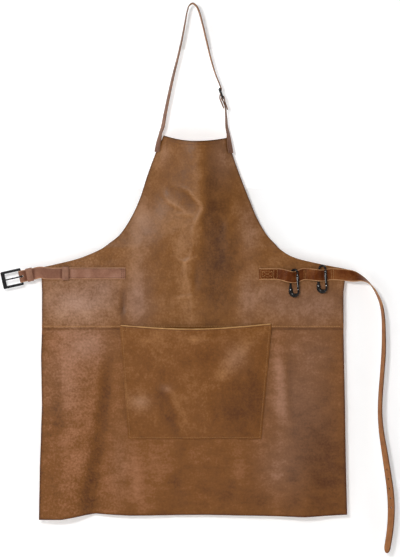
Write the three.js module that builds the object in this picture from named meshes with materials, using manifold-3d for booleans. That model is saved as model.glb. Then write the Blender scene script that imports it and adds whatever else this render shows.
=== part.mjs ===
// Leather work apron hanging from the peak of its neck strap.
// Millimetres, +Z up, +X to the viewer's right, the front of the apron faces -Y.
// The origin is the underside of the neck strap where it hangs on a peg.
import * as THREE from 'three';
import { mergeVertices } from 'three/addons/utils/BufferGeometryUtils.js';
import Module from 'manifold-3d';

const wasm = await Module();
wasm.setup();

// Leather thicknesses and the clearance between pieces that lie on each other
const PANEL_THICK = 2.2;
const STRAP_THICK = 2.5;
const NECK_THICK = 2.4;
const KEEPER_THICK = 1.6;
const CLEAR = 0.4;
const LAYER = PANEL_THICK + CLEAR;

// Heights of the main lines
const BIB_ARC_END_Z = -560;
const BIB_TOP_Z = -305;
const LAP_TOP_Z = -729;
const SEAM_Z = -744;
const LAP_START_Z = -660;
const POCKET_BOTTOM_Z = -998;
const WAIST_Z = -618.3;

// Bib cross-section: a shallow arc that turns the top corners back
const BIB_CENTRE_X = 5;
const BIB_ARC_TOP = 0.0066;
const BIB_ARC_POWER = 1.5;

// Grid counts: columns left of, under and right of the pocket, and rows
const SIDE_COLUMNS = 9;
const POCKET_COLUMNS = 14;
const POCKET_ROWS = 9;
const HEM_ROWS = 5;
const ARMHOLE_STEPS = 2;
const SIDE_STEPS = 2;
const STRAP_DIVISIONS = 3;

// Bib outline: each row gives both side points and the height of the middle of the row
const BIB_SECTIONS = [
  { leftX: -66.8, leftZ: -298.4, rightX: 82.4, rightZ: -302.9, midZ: -314 },
  { leftX: -84.0, leftZ: -335.1, rightX: 88.1, rightZ: -335.1, midZ: -345 },
  { leftX: -102.4, leftZ: -390.2, rightX: 104.2, rightZ: -390.2, midZ: -392 },
  { leftX: -118.4, leftZ: -445.2, rightX: 124.8, rightZ: -445.2, midZ: -438 },
  { leftX: -141.4, leftZ: -491.1, rightX: 143.2, rightZ: -491.1, midZ: -475 },
  { leftX: -162.0, leftZ: -527.9, rightX: 166.2, rightZ: -527.9, midZ: -503 },
  { leftX: -185.0, leftZ: -548.0, rightX: 184.0, rightZ: -548.0, midZ: -521 },
  { leftX: -212.5, leftZ: -564.6, rightX: 204.0, rightZ: -566.0, midZ: -537 },
  { leftX: -258.4, leftZ: -582.9, rightX: 240.0, rightZ: -583.0, midZ: -559 },
  { leftX: -300.0, leftZ: -594.0, rightX: 295.0, rightZ: -597.0, midZ: -580 },
  { leftX: -347.9, leftZ: -604.7, rightX: 353.2, rightZ: -608.2, midZ: -600 },
];
const BIB_SIDE_SECTIONS = [
  { leftX: -347.9, leftZ: -604.7, rightX: 353.2, rightZ: -608.2, midZ: -600 },
  { leftX: -345.6, leftZ: LAP_START_Z, rightX: 346.4, rightZ: LAP_START_Z, midZ: LAP_START_Z },
  { leftX: -345.6, leftZ: LAP_TOP_Z, rightX: 346.4, rightZ: LAP_TOP_Z, midZ: LAP_TOP_Z },
];

// Skirt: side edges by height, and the hem line
const SKIRT_SIDES = [
  { z: LAP_TOP_Z, leftX: -345.6, rightX: 346.4 },
  { z: SEAM_Z, leftX: -345.6, rightX: 346.4 },
  { z: -808, leftX: -347.9, rightX: 347.5 },
  { z: -918, leftX: -345.6, rightX: 349.8 },
  { z: -1065, leftX: -350.2, rightX: 352.1 },
  { z: -1180, leftX: -352.0, rightX: 355.0 },
];
const HEM = [
  { x: -352, z: -1183 },
  { x: -300, z: -1182 },
  { x: -245, z: -1173 },
  { x: -222, z: -1170.6 },
  { x: -144, z: -1174.4 },
  { x: 17, z: -1173 },
  { x: 134, z: -1174.4 },
  { x: 257, z: -1177 },
  { x: 310, z: -1174.4 },
  { x: 355, z: -1172 },
];

// Folds: a soft ridge (forward above 0) or valley between two points of the front view
const FOLDS = [
  { name: 'bib ridge', x1: 17, z1: -340, forward1: 5, x2: 14, z2: -550, forward2: 3, width: 26 },
  { name: 'left valley', x1: -184, z1: -770, forward1: 0, x2: -226, z2: -1180, forward2: -13, width: 24 },
  { name: 'left flap', x1: -272, z1: -780, forward1: 0, x2: -300, z2: -1190, forward2: 17, width: 62 },
  { name: 'right hem ridge', x1: 258, z1: -960, forward1: 0, x2: 258, z2: -1185, forward2: 10, width: 40 },
  { name: 'middle hem hollow', x1: 20, z1: -1040, forward1: 0, x2: 20, z2: -1185, forward2: -5, width: 90 },
];

// Pocket: side edges, sagging mouth and forward bulge
const POCKET_TOP = { leftX: -166.6, leftZ: -736.7, rightX: 181, rightZ: -733.3 };
const POCKET_FOOT = { leftX: -148, rightX: 158 };
const POCKET_MOUTH_SAG = 14;
const POCKET_BULGE = 14;
const POCKET_RISE_START_Z = -800;

// Waist straps lie on the front of the bib
const BELT_WIDTH = 27;
const STRAP_Y = -(PANEL_THICK / 2 + CLEAR + STRAP_THICK / 2);

// Left tab with the open buckle: it droops past the edge of the apron
const TAB_END_X = -154;
const TAB_STEP_X = -260;
const TAB_RAISED_X = -275;
const STEP_LEAD = 7;
const TAB_DROOP_DEG = 12.5;
const TAB_LEAVE_X = -332;
const TAB_BACK_END_X = -309;
const TAB_FREE_ALONG = [-44, -28, -14];
const FIXED_KEEPER = { centre: -291.4, width: 14.5 };
const LOOSE_KEEPER_BACK = 20;

const WAIST_BUCKLE = {
  pivot: new THREE.Vector3(-392.9, 0, -625.6),
  bar: 2.1,
  window: 28.6,
  rail: 4.6,
  front: 7,
  reach: 44.8,
  thick: 3.2,
  corner: 2.5,
  eye: 1.6,
  prong: 3,
  slot: 4.2,
  slotBack: 10,
};

// Right belt: two loops for the hooks, then a twisted free end
const BELT_START_X = 153;
const BELT_Z = -619.7;
const LOOPS = [
  { start: 196, dip: 7.5, hookTop: -607.2 },
  { start: 260, dip: 3.5, hookTop: -598.3 },
];
// One loop: along the belt, out from the apron, share of the dip under the hook's weight
const LOOP_ROWS = [
  { along: -7, out: 0, sag: 0 },
  { along: 0, out: 0, sag: 0.03 },
  { along: 6, out: 2.6, sag: 0.14 },
  { along: 13, out: 9.2, sag: 0.36 },
  { along: 20, out: 11.9, sag: 0.62 },
  { along: 27, out: 10.0, sag: 0.86 },
  { along: 34.4, out: 5.55, sag: 1 },
  { along: 41.5, out: 1.2, sag: 0.9 },
  { along: 48, out: 0, sag: 0.5 },
  { along: 55, out: 0, sag: 0.12 },
];
const BELT_FREE = [
  { x: 330, y: STRAP_Y, z: -620.3, roll: 0 },
  { x: 345, y: STRAP_Y, z: -621.5, roll: 0 },
  { x: 358, y: STRAP_Y, z: -623, roll: 4 },
  { x: 372, y: -2, z: -625.5, roll: 28 },
  { x: 386, y: -1, z: -629, roll: 58 },
  { x: 400, y: 0, z: -636, roll: 78 },
  { x: 413, y: 0, z: -649, roll: 88 },
  { x: 424, y: 0, z: -667, roll: 93 },
  { x: 433, y: 0, z: -690, roll: 97 },
  { x: 437.5, y: 0, z: -718, roll: 99 },
  { x: 439, y: 0, z: -760, roll: 102 },
  { x: 438.5, y: 0, z: -800, roll: 104 },
  { x: 435, y: 0, z: -850, roll: 104 },
  { x: 431, y: 0, z: -905, roll: 104 },
  { x: 430.5, y: 0, z: -945, roll: 105 },
  { x: 434, y: 0, z: -985, roll: 109 },
  { x: 441, y: 0, z: -1030, roll: 114 },
  { x: 448, y: 0, z: -1075, roll: 116 },
  { x: 454, y: 0, z: -1120, roll: 119 },
  { x: 456, y: 0, z: -1160, roll: 119 },
  { x: 453.5, y: 0, z: -1205, roll: 116 },
  { x: 445, y: 0, z: -1260, roll: 113 },
];
const BELT_TIP = 14;
const TIP_PARTS = [0.6, 0.3, 0.1];
const TIP_FLAT = 0.3;
const BELT_HOLE_COUNT = 5;
const BELT_HOLE_FIRST = 105;
const BELT_HOLE_PITCH = 22;
const BELT_HOLE_RADIUS = 2.2;

// Snap hooks: pear-shaped ring in its own plane, u to the right, v up from the top of the wire's middle
const HOOK = {
  wire: 2.4,
  topRadius: 7.5,
  bottomRadius: 10.5,
  bottomV: -50,
  noseV: -9,
  pivotV: -45.5,
  pin: 1.3,
  pinHole: 1.7,
  tongue: 2,
  tongueWidth: 4.2,
  gateWidth: 4.2,
  gateThick: 4.8,
  gateTopV: -9.5,
  forkDepth: 3.6,
  pinLength: 6,
  turnDeg: 25,
};
const HOOK_PLANE_Y = -8.6;
const HOOK_FROM_LOOP = 37;

// Neck strap, long part from the left bib corner to the neck buckle's tail
const NECK_WIDTH = 16;
const NECK_SEATS = {
  left: [
    { x: -80.6, z: -337, ax: 0.72, ay: -0.69 },
    { x: -77.6, z: -318, ax: 0.64, ay: -0.77 },
    { x: -74.2, z: -304, ax: 0.54, ay: -0.84 },
    { x: -72, z: -293, ax: 0.42, ay: -0.91 },
  ],
  right: [
    { x: 86.4, z: -340, ax: -0.75, ay: -0.66 },
    { x: 83.4, z: -321, ax: -0.69, ay: -0.72 },
    { x: 81.6, z: -308, ax: -0.6, ay: -0.8 },
    { x: 80.4, z: -297, ax: -0.46, ay: -0.89 },
  ],
};
const NECK_RISE = [
  { x: -69.2, y: 35.5, z: -279, ax: 0.3, ay: -0.95 },
  { x: -63.3, y: 27, z: -249, ax: 0.1, ay: -1 },
  { x: -54, y: 18.5, z: -205, ax: 0, ay: -1 },
  { x: -45, y: 12.5, z: -165, ax: 0, ay: -1 },
  { x: -34.5, y: 8, z: -124, ax: 0, ay: -1 },
  { x: -25, y: 4, z: -83, ax: 0, ay: -1 },
  { x: -17.5, y: 1.5, z: -44, ax: 0, ay: -1 },
  { x: -12.2, y: 0, z: -16, ax: 0, ay: -1 },
  { x: -8, y: 0, z: -4, ax: 0, ay: -1 },
  { x: 0, y: 0, z: NECK_THICK / 2, ax: 0, ay: -1 },
  { x: 8, y: 0, z: -4, ax: 0, ay: -1 },
  { x: 14.5, y: 0.5, z: -16, ax: 0, ay: -1 },
  { x: 23, y: 3, z: -46, ax: 0, ay: -1 },
  { x: 32, y: 6.5, z: -83, ax: 0, ay: -1 },
  { x: 42.5, y: 10.5, z: -126, ax: 0, ay: -1 },
  { x: 53, y: 14.5, z: -160, ax: 0, ay: -1 },
];
const NECK_BUCKLE = {
  pivot: new THREE.Vector3(69.5, 19.5, -213),
  leanDeg: 19.5,
  bar: 1.5,
  window: 17.4,
  rail: 2.8,
  front: 3,
  reach: 22.7,
  thick: 2.6,
  corner: 1.5,
  eye: 1.4,
  prong: 2.2,
  slot: 3.2,
  slotBack: 6,
};
// Route of the long strap through the neck buckle: along and in front of the buckle
const NECK_THROUGH = [
  { along: 32, front: -3.4 },
  { along: 24.5, front: -3.5 },
  { along: 19.3, front: -3.3 },
  { along: 12, front: 0.6 },
  { along: 3.5, front: 6.0 },
  { along: -4, front: 6.9 },
  { along: -13, front: 6.3 },
  { along: -24, front: 6.0 },
];
const NECK_HOLE = { from: 1, to: 16 };
const NECK_SHORT = [
  { x: 79, y: 33.5, z: -279, ax: -0.22, ay: -0.97 },
  { x: 77.6, y: 27, z: -257, ax: -0.08, ay: -1 },
  { x: 75.5, y: 22, z: -236, ax: 0, ay: -1 },
];
const NECK_TURN_IN = { along: -12, front: 1.5 };
const NECK_BACK_ALONG = [-12, -20, -30];

const COLOURS = {
  leather: { color: 0x6b3a1c, roughness: 0.6, metalness: 0 },
  pocket: { color: 0x6f4a22, roughness: 0.62, metalness: 0 },
  strap: { color: 0x5a2f17, roughness: 0.58, metalness: 0 },
  blackMetal: { color: 0x1c1b1b, roughness: 0.4, metalness: 0.8 },
  gunmetal: { color: 0x4a494a, roughness: 0.3, metalness: 1 },
};

const apron = new THREE.Group();

function addPiece(name, geometry, colour, parent = apron) {
  const mesh = new THREE.Mesh(geometry, new THREE.MeshStandardMaterial(COLOURS[colour]));
  mesh.name = name;
  parent.add(mesh);
}

// Solid geometry helpers

function meshFrom(points, triangles) {
  const geometry = new THREE.BufferGeometry();
  const flat = points.flatMap((p) => [p.x, p.y, p.z]);
  geometry.setAttribute('position', new THREE.Float32BufferAttribute(flat, 3));
  geometry.setIndex(triangles);
  geometry.computeVertexNormals();
  return geometry;
}

function toManifold(geometry) {
  const bare = geometry.clone();
  bare.deleteAttribute('normal');
  bare.deleteAttribute('uv');
  const merged = mergeVertices(bare, 1e-4);
  const vertProperties = new Float32Array(merged.attributes.position.array);
  const triVerts = new Uint32Array(merged.index.array);
  return new wasm.Manifold(new wasm.Mesh({ numProp: 3, vertProperties, triVerts }));
}

function fromManifold(solid) {
  const mesh = solid.getMesh();
  const geometry = new THREE.BufferGeometry();
  const points = [];
  for (let i = 0; i < mesh.vertProperties.length; i += mesh.numProp) {
    points.push(...mesh.vertProperties.subarray(i, i + 3));
  }
  geometry.setAttribute('position', new THREE.Float32BufferAttribute(points, 3));
  geometry.setIndex(Array.from(mesh.triVerts));
  geometry.computeVertexNormals();
  return geometry;
}

function join(...geometries) {
  return fromManifold(geometries.map(toManifold).reduce((whole, next) => whole.add(next)));
}

function cut(geometry, ...cutters) {
  const whole = toManifold(geometry);
  return fromManifold(cutters.map(toManifold).reduce((rest, next) => rest.subtract(next), whole));
}

// Closed wall between a front and a back grid of points, rows from top to bottom and left to right
function wallSolid(front, back) {
  const rows = front.length;
  const columns = front[0].length;
  const points = [...front.flat(), ...back.flat()];
  const backStart = rows * columns;
  const triangles = [];
  const quad = (a, b, c, d) => triangles.push(a, b, c, a, c, d);
  for (let r = 0; r + 1 < rows; r++) {
    for (let c = 0; c + 1 < columns; c++) {
      const a = r * columns + c;
      const below = a + columns;
      quad(a, below, below + 1, a + 1);
      quad(backStart + a, backStart + a + 1, backStart + below + 1, backStart + below);
    }
  }
  for (let c = 0; c + 1 < columns; c++) {
    const top = c;
    const bottom = (rows - 1) * columns + c;
    quad(top, top + 1, backStart + top + 1, backStart + top);
    quad(bottom + 1, bottom, backStart + bottom, backStart + bottom + 1);
  }
  for (let r = 0; r + 1 < rows; r++) {
    const left = r * columns;
    const right = left + columns - 1;
    quad(left + columns, left, backStart + left, backStart + left + columns);
    quad(right, right + columns, backStart + right + columns, backStart + right);
  }
  return meshFrom(points, triangles);
}

// Flat strap along rows of { at, across }, on a smooth route, with a square or rounded far end
function strapSolid(rows, { width, thick, tip = 0 }) {
  const route = new THREE.CatmullRomCurve3(rows.map((row) => row.at), false, 'centripetal');
  const acrossRoute = new THREE.CatmullRomCurve3(rows.map((row) => row.across), false, 'catmullrom', 0.5);
  const end = rows[rows.length - 1].at;
  const intervals = rows.length - 1;
  const steps = intervals * STRAP_DIVISIONS;
  const stations = Array.from({ length: steps + 1 }, (_, i) => i / steps);
  if (tip > 0) {
    const lastLength = end.distanceTo(rows[intervals - 1].at);
    for (const part of TIP_PARTS) stations.push(1 - (part * tip) / lastLength / intervals);
    stations.sort((a, b) => a - b);
  }
  const sections = stations.map((t) => {
    const at = route.getPoint(t);
    const tangent = route.getTangent(t);
    const across = acrossRoute.getPoint(t);
    across.addScaledVector(tangent, -across.dot(tangent)).normalize();
    const normal = tangent.clone().cross(across);
    const toTip = at.distanceTo(end);
    const round = toTip < tip ? Math.sqrt(1 - (1 - toTip / tip) ** 2) : 1;
    const half = (width / 2) * Math.max(round, TIP_FLAT);
    const corner = (side, face) => {
      return at.clone().addScaledVector(across, side * half).addScaledVector(normal, (face * thick) / 2);
    };
    return [corner(-1, 1), corner(1, 1), corner(1, -1), corner(-1, -1)];
  });
  return loftSolid(sections);
}

// Closed solid through rings of points with the same count
function loftSolid(sections) {
  const around = sections[0].length;
  const points = sections.flat();
  const triangles = [];
  for (let s = 0; s + 1 < sections.length; s++) {
    for (let i = 0; i < around; i++) {
      const a = s * around + i;
      const b = s * around + ((i + 1) % around);
      triangles.push(a, b + around, b, a, a + around, b + around);
    }
  }
  const last = (sections.length - 1) * around;
  for (let i = 1; i + 1 < around; i++) {
    triangles.push(0, i, i + 1, last, last + i + 1, last + i);
  }
  return meshFrom(points, triangles);
}

function plate(shape, thick, curveSegments = 6) {
  const geometry = new THREE.ExtrudeGeometry(shape, { depth: thick, bevelEnabled: false, curveSegments });
  return geometry.translate(0, 0, -thick / 2);
}

function boxBetween(low, high) {
  const geometry = new THREE.BoxGeometry(high.x - low.x, high.y - low.y, high.z - low.z);
  return geometry.translate((low.x + high.x) / 2, (low.y + high.y) / 2, (low.z + high.z) / 2);
}

function basis(origin, xAxis, yAxis) {
  const zAxis = xAxis.clone().cross(yAxis);
  return new THREE.Matrix4().makeBasis(xAxis, yAxis, zAxis).setPosition(origin);
}

// Apron surface

function interpolate(rows, key, value, field) {
  const rising = rows[rows.length - 1][key] > rows[0][key];
  let i = 0;
  while (i + 2 < rows.length && (rising ? value > rows[i + 1][key] : value < rows[i + 1][key])) i++;
  const span = rows[i + 1][key] - rows[i][key];
  const part = THREE.MathUtils.clamp((value - rows[i][key]) / span, 0, 1);
  return THREE.MathUtils.lerp(rows[i][field], rows[i + 1][field], part);
}

function foldForward(fold, x, z) {
  const run = new THREE.Vector2(fold.x2 - fold.x1, fold.z2 - fold.z1);
  const from = new THREE.Vector2(x - fold.x1, z - fold.z1);
  const part = THREE.MathUtils.clamp(from.dot(run) / run.lengthSq(), 0, 1);
  const away = from.sub(run.multiplyScalar(part)).length();
  return THREE.MathUtils.lerp(fold.forward1, fold.forward2, part) * Math.exp(-((away / fold.width) ** 2));
}

// Depth of the hanging leather's middle surface: the bib's arc and the folds
function surfaceY(x, z) {
  const up = THREE.MathUtils.clamp((z - BIB_ARC_END_Z) / (BIB_TOP_Z - BIB_ARC_END_Z), 0, 1.05);
  const arc = BIB_ARC_TOP * up ** BIB_ARC_POWER * (x - BIB_CENTRE_X) ** 2;
  return arc - FOLDS.reduce((sum, fold) => sum + foldForward(fold, x, z), 0);
}

const SLOPE_STEP = 0.5;

function frontNormal(x, z) {
  const slopeX = (surfaceY(x + SLOPE_STEP, z) - surfaceY(x - SLOPE_STEP, z)) / (2 * SLOPE_STEP);
  const slopeZ = (surfaceY(x, z + SLOPE_STEP) - surfaceY(x, z - SLOPE_STEP)) / (2 * SLOPE_STEP);
  return new THREE.Vector3(slopeX, -1, slopeZ).normalize();
}

// Point in front of the middle surface by the given lift
function lifted(x, z, lift) {
  return new THREE.Vector3(x, surfaceY(x, z), z).addScaledVector(frontNormal(x, z), lift);
}

function panelWall(spots) {
  const half = PANEL_THICK / 2;
  const front = spots.map((row) => row.map(({ x, z, lift }) => lifted(x, z, lift + half)));
  const back = spots.map((row) => row.map(({ x, z, lift }) => lifted(x, z, lift - half)));
  return wallSolid(front, back);
}

// Places of the columns between the side edges at one height: the pocket's edges are columns too
function columnXs(z, leftX, rightX) {
  const down = THREE.MathUtils.clamp((SEAM_Z - z) / (SEAM_Z - POCKET_BOTTOM_Z), 0, 1);
  const pocketLeft = THREE.MathUtils.lerp(POCKET_TOP.leftX, POCKET_FOOT.leftX, down);
  const pocketRight = THREE.MathUtils.lerp(POCKET_TOP.rightX, POCKET_FOOT.rightX, down);
  const stretch = (from, to, count) => {
    return Array.from({ length: count }, (_, i) => THREE.MathUtils.lerp(from, to, i / count));
  };
  return [
    ...stretch(leftX, pocketLeft, SIDE_COLUMNS),
    ...stretch(pocketLeft, pocketRight, POCKET_COLUMNS),
    ...stretch(pocketRight, rightX, SIDE_COLUMNS),
    rightX,
  ];
}

const SEAM_LEFT = SKIRT_SIDES[1].leftX;
const SEAM_RIGHT = SKIRT_SIDES[1].rightX;
const SEAM_COLUMNS = columnXs(SEAM_Z, SEAM_LEFT, SEAM_RIGHT);
const COLUMN_PARTS = SEAM_COLUMNS.map((x) => (x - SEAM_LEFT) / (SEAM_RIGHT - SEAM_LEFT));

// Smooth rows between sections, each section once
function sectionRows(sections, steps) {
  const keys = ['leftX', 'leftZ', 'rightX', 'rightZ', 'midZ'];
  const rows = [];
  for (let i = 0; i + 1 < sections.length; i++) {
    for (let s = 0; s < steps; s++) {
      const last = sections.length - 1;
      const around = [Math.max(i - 1, 0), i, i + 1, Math.min(i + 2, last)].map((n) => sections[n]);
      const row = {};
      for (const key of keys) row[key] = smoothBetween(around.map((section) => section[key]), s / steps);
      rows.push(row);
    }
  }
  return rows;
}

function smoothBetween([before, from, to, after], t) {
  const startSlope = (to - before) / 2;
  const endSlope = (after - from) / 2;
  const t2 = t * t;
  const t3 = t2 * t;
  const places = (2 * t3 - 3 * t2 + 1) * from + (3 * t2 - 2 * t3) * to;
  return places + (t3 - 2 * t2 + t) * startSlope + (t3 - t2) * endSlope;
}

function bibSpots() {
  const rows = [
    ...sectionRows(BIB_SECTIONS, ARMHOLE_STEPS),
    ...sectionRows(BIB_SIDE_SECTIONS, SIDE_STEPS),
    { leftX: SEAM_LEFT, leftZ: LAP_TOP_Z, rightX: SEAM_RIGHT, rightZ: LAP_TOP_Z, midZ: LAP_TOP_Z },
    { leftX: SEAM_LEFT, leftZ: SEAM_Z, rightX: SEAM_RIGHT, rightZ: SEAM_Z, midZ: SEAM_Z },
  ];
  return rows.map((row) => COLUMN_PARTS.map((part) => {
    const side = Math.abs(2 * part - 1) ** 2;
    const edgeZ = part < 0.5 ? row.leftZ : row.rightZ;
    const z = THREE.MathUtils.lerp(row.midZ, edgeZ, side);
    const lap = THREE.MathUtils.smoothstep(LAP_START_Z - z, 0, LAP_START_Z - LAP_TOP_Z);
    return { x: THREE.MathUtils.lerp(row.leftX, row.rightX, part), z, lift: lap * LAYER };
  }));
}

function skirtRowHeights() {
  const heights = [LAP_TOP_Z];
  for (let i = 0; i <= POCKET_ROWS; i++) {
    heights.push(THREE.MathUtils.lerp(SEAM_Z, POCKET_BOTTOM_Z, i / POCKET_ROWS));
  }
  return heights;
}

function skirtColumns(z) {
  return columnXs(z, interpolate(SKIRT_SIDES, 'z', z, 'leftX'), interpolate(SKIRT_SIDES, 'z', z, 'rightX'));
}

function skirtSpots() {
  const spots = skirtRowHeights().map((z) => skirtColumns(z).map((x) => ({ x, z, lift: 0 })));
  const foot = spots[spots.length - 1];
  const hemXs = skirtColumns(SKIRT_SIDES[SKIRT_SIDES.length - 1].z);
  for (let r = 1; r <= HEM_ROWS; r++) {
    const down = r / HEM_ROWS;
    spots.push(foot.map((spot, c) => {
      const hemZ = interpolate(HEM, 'x', hemXs[c], 'z');
      const x = THREE.MathUtils.lerp(spot.x, hemXs[c], down);
      return { x, z: THREE.MathUtils.lerp(spot.z, hemZ, down), lift: 0 };
    }));
  }
  return spots;
}

function pocketSpots() {
  const heights = skirtRowHeights().slice(1);
  const firstColumn = SIDE_COLUMNS;
  return heights.map((rowZ, r) => {
    const xs = skirtColumns(rowZ).slice(firstColumn, firstColumn + POCKET_COLUMNS + 1);
    return xs.map((x, c) => {
      const across = c / POCKET_COLUMNS;
      const belly = Math.sin(Math.PI * across);
      const cornersZ = THREE.MathUtils.lerp(POCKET_TOP.leftZ, POCKET_TOP.rightZ, across);
      const mouthZ = cornersZ - POCKET_MOUTH_SAG * belly;
      const z = r === 0 ? mouthZ : rowZ;
      const down = r / POCKET_ROWS;
      const overLap = THREE.MathUtils.smoothstep(z, POCKET_RISE_START_Z, SEAM_Z) * (LAYER + CLEAR);
      const bulge = POCKET_BULGE * belly ** 1.3 * Math.cos((Math.PI / 2) * down) ** 0.8;
      return { x, z, lift: LAYER + overLap + bulge };
    });
  });
}

addPiece('bib_panel', panelWall(bibSpots()), 'leather');
addPiece('skirt_panel', panelWall(skirtSpots()), 'leather');
addPiece('pocket', panelWall(pocketSpots()), 'pocket');

// Buckles, in their own frame: x from the hinge bar to the front bar, y across, z out of the face

function roundedShape(points, radius) {
  const shape = new THREE.Shape();
  points.forEach((point, i) => {
    const before = points[(i + points.length - 1) % points.length];
    const after = points[(i + 1) % points.length];
    const enter = point.clone().add(before.clone().sub(point).setLength(radius));
    const leave = point.clone().add(after.clone().sub(point).setLength(radius));
    if (i === 0) shape.moveTo(enter.x, enter.y);
    else shape.lineTo(enter.x, enter.y);
    shape.quadraticCurveTo(point.x, point.y, leave.x, leave.y);
  });
  shape.closePath();
  return shape;
}

function rectangle(lowX, lowY, highX, highY) {
  const corners = [[lowX, lowY], [highX, lowY], [highX, highY], [lowX, highY]];
  return corners.map(([x, y]) => new THREE.Vector2(x, y));
}

const BAR_SIDES = 12;
const CUT_PAST = 20;
const WINDOW_CORNER = 1.5;
const PRONG_TIP = 1.4;

function buckleFrame(buckle) {
  const inner = buckle.window / 2;
  const outer = inner + buckle.rail;
  const tail = buckle.bar + 0.4;
  const outline = roundedShape(rectangle(-tail, -outer, buckle.reach, outer), buckle.corner);
  const body = plate(outline, buckle.thick, 3);
  const window = rectangle(-CUT_PAST, -inner, buckle.reach - buckle.front, inner);
  const opening = roundedShape(window, WINDOW_CORNER);
  const hole = plate(opening, buckle.thick * 2, 3);
  const bar = new THREE.CylinderGeometry(buckle.bar, buckle.bar, buckle.window + buckle.rail, BAR_SIDES);
  return join(cut(body, hole), bar);
}

function buckleProng(buckle) {
  const innerRadius = buckle.bar + CLEAR - 0.05;
  const outerRadius = innerRadius + buckle.eye;
  const ring = new THREE.Shape();
  ring.absarc(0, 0, outerRadius, 0, 2 * Math.PI);
  const hole = new THREE.Path();
  hole.absarc(0, 0, innerRadius, 0, 2 * Math.PI, true);
  ring.holes.push(hole);
  const rest = buckle.thick / 2 + CLEAR - 0.05;
  const tipX = buckle.reach - 0.6;
  const stem = new THREE.Shape();
  stem.moveTo(0, innerRadius + 0.02);
  stem.lineTo(tipX - PRONG_TIP, rest);
  stem.lineTo(tipX, rest);
  stem.lineTo(tipX, rest + buckle.eye * 0.5);
  stem.lineTo(tipX - PRONG_TIP, rest + buckle.eye * 0.9);
  stem.lineTo(buckle.bar, outerRadius);
  stem.lineTo(0, outerRadius);
  stem.closePath();
  const solid = join(plate(ring, buckle.prong, 6), plate(stem, buckle.prong, 6));
  return solid.rotateX(Math.PI / 2);
}

// Route of a strap end folded round a hinge bar, in the buckle's frame as { along, front }
function foldRoute(buckle, thick) {
  const radius = buckle.bar + CLEAR + thick / 2;
  const turn = [];
  for (let deg = 90; deg >= -90; deg -= 30) {
    const angle = THREE.MathUtils.degToRad(deg);
    turn.push({ along: radius * Math.cos(angle), front: radius * Math.sin(angle) });
  }
  return turn;
}

function prongSlot(buckle) {
  const half = buckle.slot / 2;
  return boxBetween(
    new THREE.Vector3(-buckle.slotBack, -half, -CUT_PAST),
    new THREE.Vector3(CUT_PAST, half, CUT_PAST),
  );
}

// Left waist tab and its open buckle
const droop = THREE.MathUtils.degToRad(TAB_DROOP_DEG);
const tabAlong = new THREE.Vector3(-Math.cos(droop), 0, -Math.sin(droop));
const tabDown = new THREE.Vector3(Math.sin(droop), 0, -Math.cos(droop));
const tabUp = tabDown.clone().negate();
const plyStep = (STRAP_THICK + CLEAR) / 2;
const tabMiddleY = STRAP_Y - plyStep;
const waistPivot = WAIST_BUCKLE.pivot.clone().setY(tabMiddleY);
const waistBasis = basis(waistPivot, tabAlong, tabDown);

function tabRows() {
  const up = new THREE.Vector3(0, 0, 1);
  const front = tabMiddleY - plyStep;
  const onBuckle = (along, out) => {
    return { at: new THREE.Vector3(along, 0, out).applyMatrix4(waistBasis), across: tabUp };
  };
  const flat = (x, y) => ({ at: new THREE.Vector3(x, y, WAIST_Z), across: up });
  return [
    flat(TAB_END_X, STRAP_Y),
    flat(TAB_STEP_X + STEP_LEAD, STRAP_Y),
    flat(TAB_STEP_X, STRAP_Y),
    flat(TAB_RAISED_X, front),
    flat(TAB_RAISED_X - STEP_LEAD, front),
    flat(TAB_LEAVE_X, front),
    ...TAB_FREE_ALONG.map((along) => onBuckle(along, plyStep)),
    ...foldRoute(WAIST_BUCKLE, STRAP_THICK).map(({ along, front: out }) => onBuckle(along, out)),
    ...TAB_FREE_ALONG.toReversed().map((along) => onBuckle(along, -plyStep)),
    flat(TAB_LEAVE_X, tabMiddleY + plyStep),
    flat(TAB_BACK_END_X, tabMiddleY + plyStep),
  ];
}

const tabSolid = strapSolid(tabRows(), { width: BELT_WIDTH, thick: STRAP_THICK });
addPiece('buckle_tab', cut(tabSolid, prongSlot(WAIST_BUCKLE).applyMatrix4(waistBasis)), 'strap');
addPiece('waist_buckle_frame', buckleFrame(WAIST_BUCKLE).applyMatrix4(waistBasis), 'blackMetal');
addPiece('waist_buckle_prong', buckleProng(WAIST_BUCKLE).applyMatrix4(waistBasis), 'blackMetal');

// Leather keepers: a band round the strap's plies
function keeper(depth, length) {
  const halfY = BELT_WIDTH / 2 + CLEAR;
  const halfZ = depth / 2 + CLEAR;
  const wall = KEEPER_THICK;
  const band = roundedShape(rectangle(-halfY - wall, -halfZ - wall, halfY + wall, halfZ + wall), 1.2);
  band.holes.push(new THREE.Path(rectangle(-halfY, -halfZ, halfY, halfZ)));
  return plate(band, length, 3).rotateX(Math.PI / 2).rotateZ(Math.PI / 2);
}

const alongApron = basis(
  new THREE.Vector3(FIXED_KEEPER.centre, tabMiddleY - plyStep, WAIST_Z),
  new THREE.Vector3(-1, 0, 0),
  new THREE.Vector3(0, 0, -1),
);
addPiece('tab_keeper', keeper(STRAP_THICK, FIXED_KEEPER.width).applyMatrix4(alongApron), 'strap');
const loosePlace = new THREE.Vector3(-LOOSE_KEEPER_BACK, 0, 0).applyMatrix4(waistBasis);
const pliesDepth = 2 * STRAP_THICK + CLEAR;
addPiece(
  'loose_keeper',
  keeper(pliesDepth, FIXED_KEEPER.width).applyMatrix4(basis(loosePlace, tabAlong, tabDown)),
  'strap',
);

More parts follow.
